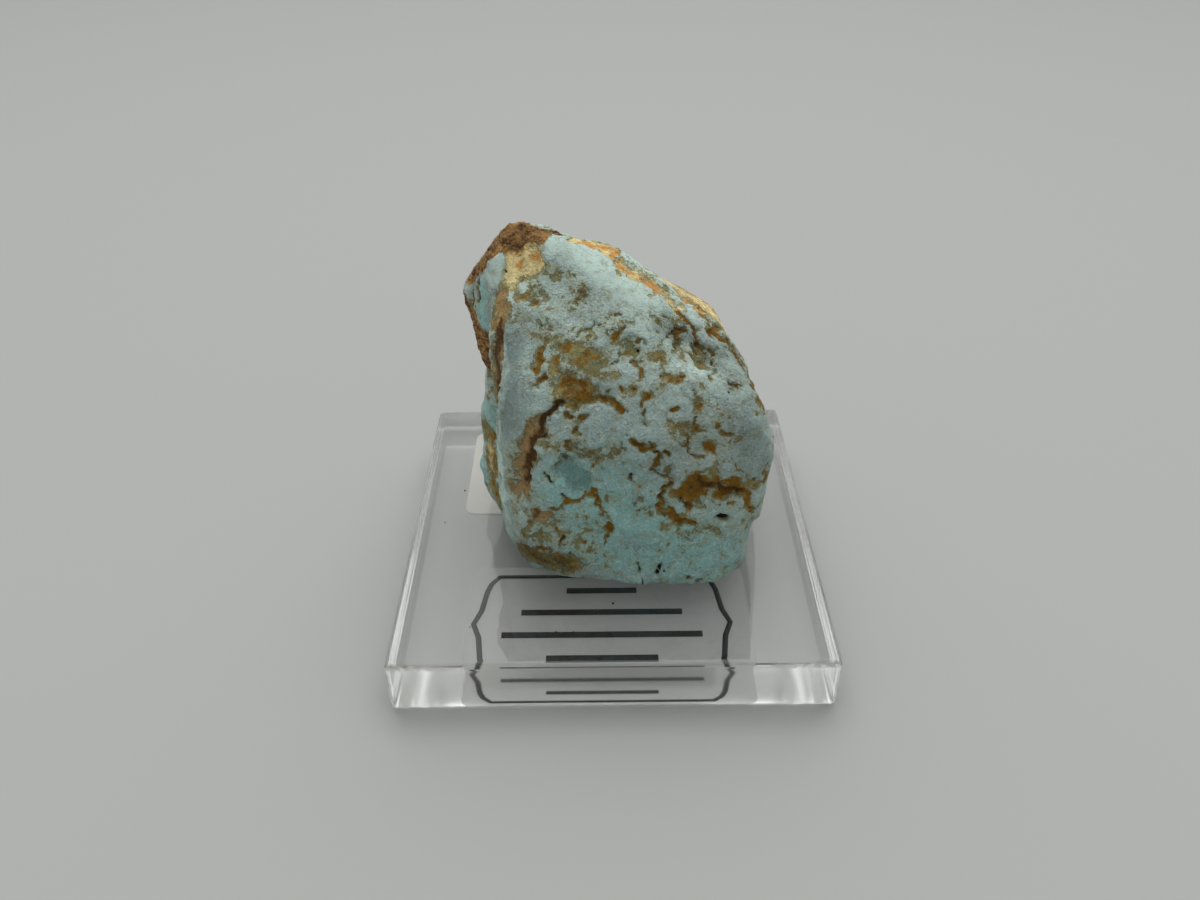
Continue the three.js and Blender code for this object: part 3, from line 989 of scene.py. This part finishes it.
LEFT_FLANK = laid_on(
    Side.LEFT,
    stroke(Look.HOST, 1.7, 0.4, 0.0, (-1.0, 64.0), (-2.5, 60.5), (-5.0, 57.5), (-8.0, 54.0)),
    stroke(Look.SMOOTH, 1.3, -0.9, 0.0, (-0.6, 61.0), (0.2, 57.0)),
    stroke(Look.MINT, 1.3, -0.3, 0.0, (-0.6, 61.0), (0.2, 57.0)),
    stroke(Look.BROWN, 0.5, 0.9, 0.3, (-6.6, 55.0), (-5.6, 50.0), (-4.2, 46.5)),
    stroke(Look.BROWN, 0.35, 0.8, 0.2, (-3.2, 57.5), (-3.4, 53.0), (-1.8, 49.0)),
    stroke(Look.SMOOTH, 1.2, -0.9, 0.0, (-8.6, 55.5), (-8.2, 52.5)),
    stroke(Look.BLUE, 1.0, -0.6, 0.0, (-2.4, 55.0), (-2.2, 51.0), (-1.2, 47.6)),
    stroke(Look.HOST, 2.6, 1.0, 0.2, (-10.0, 49.5), (-6.5, 47.8), (-3.2, 46.0), (-1.2, 42.0)),
    stroke(Look.BLUE, 1.8, 0.0, 0.0, (-5.0, 35.5), (-2.0, 33.0), (-1.0, 29.5)),
    stroke(Look.OCHRE, 0.5, 0.7, 0.2, (-4.8, 30.5), (-2.6, 28.0), (-0.4, 27.0)),
    stroke(Look.OCHRE, 2.2, 0.65, 0.2, (-3.0, 26.0), (-1.2, 23.0), (0.6, 20.5), weight=0.45),
    stroke(Look.BLUE, 1.7, -0.8, 0.0, (-5.2, 20.0), (-4.0, 16.6)),
    stroke(Look.OCHRE, 0.9, 0.7, 0.2, (-2.6, 15.4), (-0.6, 12.8), weight=0.7),
    stroke(Look.OLIVE, 1.6, 0.6, 0.1, (-1.0, 18.0), (1.2, 14.5)),
    stroke(Look.HOST, 2.4, 0.5, 0.1, (-16.0, 30.0), (-14.0, 22.0), (-12.0, 15.0)),
    stroke(Look.CREAM, 1.2, 0.8, 0.0, (-2.2, 24.6), (-1.2, 21.0), weight=0.65),
)
REAR_LOBE = laid_on(
    Side.TOP,
    stroke(Look.CREAM, 5.0, 1.3, 0.0, (10.5, 12.5), (14.0, 14.0), (17.0, 11.5), (20.5, 10.0),
           weight=0.75),
    stroke(Look.TAN, 6.0, 1.0, 0.0, (9.0, 16.0), (14.0, 17.5), (18.0, 15.0), (22.0, 12.0), weight=0.8),
    stroke(Look.SMOOTH, 3.6, 0.0, 0.0, (10.5, 12.5), (14.0, 14.0), (17.0, 11.5), (20.5, 10.0)),
    stroke(Look.RUST, 0.8, 0.9, 0.2, (11.0, 7.6), (15.0, 6.4), (18.5, 5.6)),
)


@dataclass(frozen=True)
class Cloud:
    """Smooth noise: the size of its largest features in millimetres, its finer layers and an offset."""

    wavelength: float
    octaves: int
    shift: float
    falloff: float = 0.9
    spread: float = 2.1

    def over(self, points: np.ndarray) -> np.ndarray:
        """Sample the noise at points.

        Args:
            points: Places in millimetres.

        Returns:
            A value for each point, about -1 to 1.
        """
        places = (points / self.wavelength + self.shift).tolist()
        values = [noise.fractal(place, self.falloff, self.spread, self.octaves) for place in places]
        return np.array(values)


def ramp(values: np.ndarray, low: float, high: float) -> np.ndarray:
    """Return a smooth step from 0 below low to 1 above high."""
    share = np.clip((values - low) / (high - low), 0.0, 1.0)
    return share * share * (3.0 - 2.0 * share)


@dataclass
class Nugget:
    """The turquoise nugget: fine relief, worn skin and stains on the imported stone's shape.

    A pair of numbers says where a smooth step begins and ends.
    """

    finish: TurquoiseFinish
    levels: int = 2
    foot_gap: float = 0.03
    plate: float = 0.28
    settle: float = 0.45
    hills: float = 0.30
    ripples: float = 0.11
    proud: float = 0.15
    crags: float = 0.7
    crag_level: float = 0.25
    calming: float = 0.85
    tearing: float = 0.14
    weld: float = 0.001
    foot_band: float = 0.02
    skin_level: float = 0.40
    skin_shares: tuple[float, float, float] = (0.12, 0.30, 0.18)
    rear_host: Point2 = (0.55, 0.45)
    rear_drift: float = 5.0
    # Painted top light: how much pale mint goes on the up-facing crown, partly the crown's paler skin.
    crown_top_light: float = 0.8
    front_wrap: Point2 = (-0.25, 0.15)
    other_wrap: Point2 = (0.15, 0.50)
    cut_edge: Point2 = (0.05, 0.6)
    cover_edge: Point2 = (-0.06, 0.14)
    host_edge: Point2 = (0.35, 0.6)
    pale_edge: Point2 = (0.25, 0.7)
    rear_depth: Point2 = (9.0, 16.0)
    rear_facing: Point2 = (-0.1, 0.35)
    crown_facing: Point2 = (0.45, 0.85)
    crown_height: Point2 = (36.0, 50.0)
    broad: Cloud = Cloud(9.0, 3, 43.9)
    medium: Cloud = Cloud(2.6, 3, 57.7)
    small: Cloud = Cloud(1.1, 2, 63.1)
    fine: Cloud = Cloud(1.3, 3, 71.3)
    cragged: Cloud = Cloud(3.4, 4, 83.1)
    hilly: Cloud = Cloud(4.6, 2, 97.9)
    winding: tuple[Cloud, ...] = (Cloud(2.4, 3, 7.3), Cloud(2.4, 3, 19.1), Cloud(2.4, 3, 31.7))
    ragged: tuple[Cloud, ...] = (Cloud(0.9, 2, 3.7), Cloud(0.9, 2, 13.9), Cloud(0.9, 2, 23.3))
    winding_reach: float = 0.9
    ragged_reach: float = 0.35
    fields: dict[str, np.ndarray] = field(default_factory=dict)

    def build(self) -> bpy.types.Object:
        """Make the stone.

        Returns:
            The finished piece.
        """
        mesh = self.refined()
        points = np.empty(len(mesh.vertices) * 3)
        mesh.vertices.foreach_get("co", points)
        points = points.reshape(-1, 3) / MM
        normals = self.normals(mesh)
        self.paint(points, normals)
        moved = self.carved(points, normals)
        mesh.vertices.foreach_set("co", (moved * MM).ravel())
        for name, values in self.fields.items():
            layer = mesh.attributes.new(name, "FLOAT", "POINT")
            layer.data.foreach_set("value", values.astype(np.float32))
        mesh.shade_smooth()
        mesh.update()
        mesh.materials.clear()
        mesh.materials.append(self.finish.make())
        piece = new_object("raw_nugget", mesh)
        hand_over(piece, Node.NUGGET)
        return piece

    def refined(self) -> bpy.types.Mesh:
        """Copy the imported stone, join its loose triangles and subdivide it.

        Returns:
            The fine mesh.
        """
        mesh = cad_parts[Node.NUGGET.value].data.copy()
        mesh.name = "raw_nugget"
        shape = bmesh.new()
        shape.from_mesh(mesh)
        bmesh.ops.remove_doubles(shape, verts=shape.verts, dist=self.weld * MM)
        shape.to_mesh(mesh)
        shape.free()
        rough = new_object("rough_stone", mesh)
        smoother = rough.modifiers.new("refine", "SUBSURF")
        smoother.levels = smoother.render_levels = self.levels
        evaluated = rough.evaluated_get(bpy.context.evaluated_depsgraph_get())
        fine = bpy.data.meshes.new_from_object(evaluated)
        bpy.data.objects.remove(rough)
        return fine

    @staticmethod
    def normals(mesh: bpy.types.Mesh) -> np.ndarray:
        """Return the mesh's vertex normals, one row each."""
        values = np.empty(len(mesh.vertices) * 3)
        mesh.vertex_normals.foreach_get("vector", values)
        return values.reshape(-1, 3)

    def paint(self, points: np.ndarray, normals: np.ndarray) -> None:
        """Work out the surface fields from the marks and from noise.

        Args:
            points: The stone's points in millimetres.
            normals: Their normals.
        """
        names = [look.value for look in Look if look.value]
        self.fields = {name: np.zeros(len(points)) for name in (*names, "depth")}
        winding, ragged = (np.stack([cloud.over(points) for cloud in clouds], axis=1)
                           for clouds in (self.winding, self.ragged))
        wandering = points + self.winding_reach * winding + self.ragged_reach * ragged
        broad, medium, small = (cloud.over(points) for cloud in (self.broad, self.medium, self.small))
        skin = np.full(len(points), self.skin_level)
        for share, cloud in zip(self.skin_shares, (broad, medium, small)):
            skin += share * cloud
        worn = np.zeros(len(points))
        groups = (WORN_BELT, FISSURE, OCHRE_FIELD, DRIP, CAVITY, LOWER_STAINS, PITS, CROWN, VEIN,
                  SMOOTH_PLACES, SWELLS, TONES_AND_SHADE, LEFT_FLANK, REAR_LOBE)
        for mark in (mark for group in groups for mark in group):
            strength = self.strength(mark, points if mark.look is Look.PIT else wandering, normals)
            worn = np.maximum(worn, mark.bare * strength)
            skin -= min(mark.bare, 0.0) * strength
            cut = mark.depth * ramp(strength, *self.cut_edge)
            deeper = np.abs(cut) > np.abs(self.fields["depth"])
            self.fields["depth"] = np.where(deeper, cut, self.fields["depth"])
            if mark.look.value:
                layer = self.fields[mark.look.value]
                np.maximum(layer, strength * mark.weight, out=layer)
        self.fields["skin"] = skin - worn
        rear = ramp(points[:, 1] + self.rear_drift * broad, *self.rear_depth)
        rear *= ramp(normals[:, 1], *self.rear_facing)
        level, variation = self.rear_host
        host = np.maximum(self.fields["host"], rear * (level + variation * broad))
        pale = np.maximum(self.fields["cream"], self.fields["tan"])
        self.fields["host"] = host * (1.0 - ramp(pale, *self.pale_edge))
        # Painted top light, partly the crown's paler skin: surfaces high on the stone that face up take
        # the pale mint tone.
        crown = ramp(normals[:, 2], *self.crown_facing) * ramp(points[:, 2], *self.crown_height)
        self.fields["mint"] = np.maximum(self.fields["mint"], self.crown_top_light * crown)

    def strength(self, mark: Mark, points: np.ndarray, normals: np.ndarray) -> np.ndarray:
        """Work out how strongly a mark acts on each point.

        Args:
            mark: The mark.
            points: The stone's points in millimetres.
            normals: Their normals.

        Returns:
            A value from 0 to 1 for each point.
        """
        across, up, out = (np.array(axis) for axis in mark.side.value)
        flat = np.stack([points @ across, points @ up], axis=1)
        line = [np.array(place) for place in mark.line]
        nearest = np.full(len(points), np.inf)
        for start, end in zip(line, line[1:] or line):
            run = end - start
            share = np.clip((flat - start) @ run / max(run @ run, TINY), 0.0, 1.0)
            gap = flat - start - share[:, None] * run
            nearest = np.minimum(nearest, np.hypot(gap[:, 0], gap[:, 1]))
        wrap = self.front_wrap if mark.side is Side.FRONT else self.other_wrap
        return np.exp(-((nearest / mark.width) ** 2)) * ramp(normals @ out, *wrap)

    def carved(self, points: np.ndarray, normals: np.ndarray) -> np.ndarray:
        """Raise the skin's plates and cut the worn places.

        Args:
            points: The stone's points in millimetres.
            normals: Their normals.

        Returns:
            The moved points.
        """
        fine = self.fine.over(points)
        cover = ramp(self.fields["skin"] + self.tearing * fine, *self.cover_edge)
        calm = 1.0 - self.calming * self.fields["smooth"]
        crag = np.abs(self.cragged.over(points)) - self.crag_level
        height = self.plate * (cover - self.settle) - self.fields.pop("depth") + self.fields.pop("swell")
        height += calm * (self.hills * self.hilly.over(points) + self.ripples * fine)
        height -= self.crags * ramp(self.fields["host"], *self.host_edge) * crag
        low, high = (np.array(corner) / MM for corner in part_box(Node.NUGGET.value))
        base = points[:, 2] < low[2] + self.foot_band
        height[base] = 0.0
        moved = points + normals * height[:, None]
        moved = np.clip(moved, low - self.proud, high + self.proud)
        moved[:, 2] = np.maximum(moved[:, 2], low[2] + self.foot_gap)
        return moved


# --------------------------------------------------------------------------------------------------
# The block and its labels
# --------------------------------------------------------------------------------------------------


@dataclass
class DisplayBlock:
    """The clear acrylic block: polished above and below, satin on its sides and rounded edges."""

    finish: AcrylicFinish
    side_finish: AcrylicFinish
    edge: float = 1.0
    segments: int = 5
    level_normal: float = 0.999

    def build(self) -> bpy.types.Object:
        """Make the block.

        Returns:
            The finished piece.
        """
        low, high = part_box(Node.BLOCK.value)
        shape = bmesh.new()
        bmesh.ops.create_cube(shape, size=1.0)
        bmesh.ops.scale(shape, vec=high - low, verts=shape.verts)
        bmesh.ops.translate(shape, vec=(high + low) / 2, verts=shape.verts)
        bmesh.ops.bevel(shape, geom=shape.edges[:], offset=self.edge * MM, segments=self.segments,
                        profile=0.5, affect="EDGES")
        for face in shape.faces:
            face.material_index = 0 if abs(face.normal.z) > self.level_normal else 1
        mesh = bpy.data.meshes.new("clear_block")
        shape.to_mesh(mesh)
        shape.free()
        mesh.materials.append(self.finish.make())
        mesh.materials.append(self.side_finish.make())
        piece = new_object("clear_block", mesh)
        hand_over(piece, Node.BLOCK)
        return piece


@dataclass
class PrintedLabel:
    """The clear film under the front of the block, with its printed border and ruled lines."""

    film: FilmFinish
    ink: InkFinish
    film_corner: float = 2.0
    bite: float = 0.04
    ink_top: float = 0.21
    ink_height: float = 0.02
    line_width: float = 0.9
    print_shift: Point2 = (-1.1, -0.3)
    corner: tuple[Point2, ...] = ((21.3, 0.0), (20.2, 3.0), (19.6, 7.5), (19.0, 9.4), (17.7, 11.1))
    rule_spacing: float = 5.05
    rule_lengths: tuple[float, ...] = (12.0, 27.0, 33.0, 18.0)
    rule_width: float = 1.3

    def build(self) -> list[bpy.types.Object]:
        """Make the film, its border and its lines.

        Returns:
            The finished pieces.
        """
        low, high = (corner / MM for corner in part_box(Node.PRINTED.value))
        outline = rounded_outline(low.xy, high.xy, self.film_corner, CORNER_SEGMENTS)
        mesh = slab_mesh("label_film", outline, low.z, high.z + self.bite)
        mesh.materials.append(self.film.make())
        film = new_object("label_film", mesh)
        hand_over(film, Node.PRINTED)
        ink = self.ink.make()
        centre = (low + high) / 2 + Vector((*self.print_shift, 0.0))
        return [film, self.border(centre, ink), self.rules(centre, ink)]

    def border(self, centre: Vector, ink: bpy.types.Material) -> bpy.types.Object:
        """Print the ornamental line round the label.

        Args:
            centre: The print's middle, in millimetres.
            ink: The ink.

        Returns:
            The line as a piece.
        """
        upper = [*self.corner, *((-x, y) for x, y in reversed(self.corner))]
        lower = [(x, -y) for x, y in reversed(upper[1:-1])]
        outline = upper + lower
        mesh = bpy.data.meshes.new("border_guide")
        z = (self.ink_top - self.ink_height / 2) * MM
        verts = [((centre.x + x) * MM, (centre.y + y) * MM, z) for x, y in outline]
        edges = [(here, (here + 1) % len(verts)) for here in range(len(verts))]
        mesh.from_pydata(verts, edges, [])
        piece = new_object("label_border", mesh)
        grower = Grower("printed_border", {
            "Line width": ("NodeSocketFloat", self.line_width * MM),
            "Ink height": ("NodeSocketFloat", self.ink_height * MM),
        })
        g, source = grower.graph, grower.source
        path = g.add("GeometryNodeMeshToCurve", {"Mesh": source["Geometry"]}).outputs[0]
        inputs = {"Width": source["Line width"], "Height": source["Ink height"]}
        section = g.add("GeometryNodeCurvePrimitiveQuadrilateral", inputs).outputs[0]
        printed = g.add("GeometryNodeCurveToMesh", {"Curve": path, "Profile Curve": section}).outputs[0]
        grower.close(printed, ink)
        grower.grow(piece)
        hand_over(piece)
        return piece

    def rules(self, centre: Vector, ink: bpy.types.Material) -> bpy.types.Object:
        """Print the plain ruled lines.

        Args:
            centre: The print's middle, in millimetres.
            ink: The ink.

        Returns:
            The lines as one piece.
        """
        first = centre.y + self.rule_spacing * (len(self.rule_lengths) - 1) / 2
        z = (self.ink_top - self.ink_height / 2) * MM
        rows = [(centre.x * MM, (first - self.rule_spacing * row) * MM, z)
                for row in range(len(self.rule_lengths))]
        mesh = bpy.data.meshes.new("rule_places")
        mesh.from_pydata(rows, [], [])
        lengths = mesh.attributes.new("rule_length", "FLOAT", "POINT")
        lengths.data.foreach_set("value", [length * MM for length in self.rule_lengths])
        piece = new_object("label_rules", mesh)
        grower = Grower("printed_rules", {
            "Rule width": ("NodeSocketFloat", self.rule_width * MM),
            "Ink height": ("NodeSocketFloat", self.ink_height * MM),
        })
        g, source = grower.graph, grower.source
        stored = g.add("GeometryNodeInputNamedAttribute", {"Name": "rule_length"}, data_type="FLOAT")
        inputs = {0: stored.outputs[0], 1: source["Rule width"], 2: source["Ink height"]}
        size = g.add("ShaderNodeCombineXYZ", inputs).outputs[0]
        rule = g.add("GeometryNodeMeshCube").outputs[0]
        inputs = {"Points": source["Geometry"], "Instance": rule, "Scale": size}
        copies = g.add("GeometryNodeInstanceOnPoints", inputs).outputs[0]
        grower.close(copies, ink)
        grower.grow(piece)
        hand_over(piece)
        return piece


@dataclass
class PlainLabel:
    """The plain cream label under the back of the block."""

    finish: PaperFinish
    corner: float = 2.0
    bite: float = 0.04

    def build(self) -> bpy.types.Object:
        """Make the label.

        Returns:
            The finished piece.
        """
        low, high = (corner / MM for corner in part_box(Node.PLAIN.value))
        outline = rounded_outline(low.xy, high.xy, self.corner, CORNER_SEGMENTS)
        mesh = slab_mesh("cream_label", outline, low.z, high.z + self.bite)
        mesh.materials.append(self.finish.make())
        piece = new_object("cream_label", mesh)
        hand_over(piece, Node.PLAIN)
        return piece


@dataclass
class Crumbs:
    """Grains of the stone lying on the block round its foot."""

    finish: CrumbFinish
    seed: int = 7
    density: float = 4200.0
    smallest: float = 0.06
    largest: float = 0.22
    margin: float = 2.0
    inner: Point2 = (24.0, 19.5)
    lumpiness: float = 1.1
    full_turn: float = 6.0
    lift: float = 0.4

    def build(self) -> bpy.types.Object:
        """Scatter the grains.

        Returns:
            The finished piece.
        """
        low, high = (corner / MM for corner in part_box(Node.BLOCK.value))
        piece = new_object("fallen_grains", self.ground(low, high))
        grower = Grower("scattered_grains", {
            "Density": ("NodeSocketFloat", self.density),
            "Smallest": ("NodeSocketFloat", self.smallest * MM),
            "Largest": ("NodeSocketFloat", self.largest * MM),
            "Seed": ("NodeSocketInt", self.seed),
        })
        g, source = grower.graph, grower.source
        inputs = {"Mesh": source["Geometry"], "Density": source["Density"], "Seed": source["Seed"]}
        places = g.add("GeometryNodeDistributePointsOnFaces", inputs).outputs[0]
        grain = g.add("GeometryNodeMeshIcoSphere", {"Radius": 1.0, "Subdivisions": 2}).outputs[0]
        place = g.add("GeometryNodeInputPosition").outputs[0]
        inputs = {"Vector": place, "Scale": self.lumpiness, "Detail": 2.0}
        lumps = g.add("ShaderNodeTexNoise", inputs).outputs[1]
        pushed = g.add("ShaderNodeVectorMath", {0: lumps, 1: (0.5, 0.5, 0.5)}, operation="SUBTRACT")
        inputs = {"Geometry": grain, "Offset": pushed.outputs[0]}
        grain = g.add("GeometryNodeSetPosition", inputs).outputs[0]
        inputs = {2: source["Smallest"], 3: source["Largest"], "Seed": source["Seed"]}
        size = g.add("FunctionNodeRandomValue", inputs).outputs[1]
        inputs = {1: (self.full_turn,) * 3, "Seed": source["Seed"]}
        turn = g.add("FunctionNodeRandomValue", inputs, data_type="FLOAT_VECTOR").outputs[0]
        inputs = {"Points": places, "Instance": grain, "Rotation": turn, "Scale": size}
        grown = g.add("GeometryNodeInstanceOnPoints", inputs).outputs[0]
        grower.close(grown, self.finish.make())
        grower.grow(piece)
        hand_over(piece)
        return piece

    def ground(self, low: Vector, high: Vector) -> bpy.types.Mesh:
        """Lay out the ring of the block's top that is free of the stone.

        Args:
            low: The block's lowest corner in millimetres.
            high: Its highest corner.

        Returns:
            A flat mesh that the grains are scattered on.
        """
        across, along = self.inner
        inner = [(x, y) for x in (-across, across) for y in (-along, along)]
        left, right = low.x + self.margin, high.x - self.margin
        front, back = low.y + self.margin, high.y - self.margin
        outer = [(left, front), (left, back), (right, front), (right, back)]
        z = high.z + self.largest * self.lift
        verts = [(x * MM, y * MM, z * MM) for x, y in inner + outer]
        faces = [(0, 1, 5, 4), (1, 3, 7, 5), (3, 2, 6, 7), (2, 0, 4, 6)]
        mesh = bpy.data.meshes.new("grain_ground")
        mesh.from_pydata(verts, [], faces)
        return mesh


# --------------------------------------------------------------------------------------------------
# The studio
# --------------------------------------------------------------------------------------------------


@dataclass(frozen=True)
class Lamp:
    """A soft area light: its place and aim in metres, its sides, and its power in watts."""

    name: str
    place: tuple[float, float, float]
    aim: tuple[float, float, float]
    width: float
    height: float
    power: float

    def build(self) -> None:
        """Hang the light."""
        data = bpy.data.lights.new(self.name, "AREA")
        data.shape = "RECTANGLE"
        data.size, data.size_y, data.energy = self.width, self.height, self.power
        lamp = bpy.data.objects.new(self.name, data)
        bpy.context.scene.collection.objects.link(lamp)
        lamp.location = self.place
        lamp.rotation_euler = (Vector(self.aim) - Vector(self.place)).to_track_quat("-Z", "Y").to_euler()


@dataclass
class Studio:
    """The pale floor, the soft lights and the camera.

    A pair of numbers says where a smooth step begins and ends, along one axis of the sky.
    """

    floor: FloorFinish
    floor_half: float = 1600.0
    floor_gap: float = 0.02
    inner_reflections: int = 12
    air_rear: Colour = (1.02, 1.03, 1.02)
    air_front: Colour = (0.40, 0.40, 0.40)
    glow: Colour = (1.60, 1.63, 1.60)
    rear_turn: Point2 = (0.2, 0.7)
    glow_across: Point2 = (0.25, 0.50)
    glow_upward: Point2 = (0.58, 0.75)
    glow_rearward: Point2 = (0.45, 0.62)
    camera_place: tuple[float, float, float] = (-1.75, -138.3, 125.55)
    camera_pitch: float = 36.0
    camera_roll: float = -0.52
    lens: float = 30.0
    sensor: float = 36.0
    lamps: tuple[Lamp, ...] = (
        Lamp("overhead_softbox", (0.03, 0.15, 0.90), (0.0, 0.0, 0.0), 1.0, 0.8, 4.1),
    )

    def build(self) -> None:
        """Lay the floor, light the scene and place the camera."""
        mesh = bpy.data.meshes.new("studio_floor")
        half, z = self.floor_half * MM, -self.floor_gap * MM
        corners = [(-half, -half, z), (half, -half, z), (half, half, z), (-half, half, z)]
        mesh.from_pydata(corners, [], [(0, 1, 2, 3)])
        mesh.materials.append(self.floor.make())
        new_object("studio_floor", mesh)
        world = bpy.data.worlds.new("studio_air")
        bpy.context.scene.world = world
        world.use_nodes = True
        g = Graph(world.node_tree)
        heading = g.add("ShaderNodeTexCoord").outputs["Generated"]
        across, rearward, upward = g.add("ShaderNodeSeparateXYZ", {0: heading}).outputs
        air = g.mix(g.step(rearward, *self.rear_turn), self.air_front, self.air_rear)
        middle = g.step(g.math("ABSOLUTE", across), *self.glow_across, start=1.0, end=0.0)
        high = g.times(g.step(upward, *self.glow_upward), g.step(rearward, *self.glow_rearward))
        air = g.mix(g.times(middle, high), air, self.glow)
        g.tree.links.new(air, world.node_tree.nodes["Background"].inputs["Color"])
        for lamp in self.lamps:
            lamp.build()
        self.camera()
        bpy.context.scene.view_settings.view_transform = "Standard"
        bpy.context.scene.cycles.glossy_bounces = self.inner_reflections

    def camera(self) -> None:
        """Place the camera above and in front of the block."""
        data = bpy.data.cameras.new("viewpoint")
        data.lens, data.sensor_width = self.lens, self.sensor
        data.clip_start = 0.01
        camera = bpy.data.objects.new("viewpoint", data)
        bpy.context.scene.collection.objects.link(camera)
        tilt = Matrix.Rotation(math.radians(90.0 - self.camera_pitch), 4, "X")
        roll = Matrix.Rotation(math.radians(self.camera_roll), 4, "Z")
        camera.matrix_world = Matrix.Translation(Vector(self.camera_place) * MM) @ tilt @ roll
        bpy.context.scene.camera = camera


def main() -> None:
    """Build the part and the studio in order."""
    logging.basicConfig(level=logging.INFO, format="%(name)s: %(message)s")
    Studio(FloorFinish()).build()
    Nugget(TurquoiseFinish()).build()
    polished = AcrylicFinish("polished_acrylic", roughness=0.015)
    satin = AcrylicFinish("satin_acrylic", roughness=0.16, streak=0.001)
    DisplayBlock(polished, satin).build()
    PrintedLabel(FilmFinish(), InkFinish()).build()
    PlainLabel(PaperFinish()).build()
    Crumbs(CrumbFinish()).build()


if __name__ == "__main__":
    main()
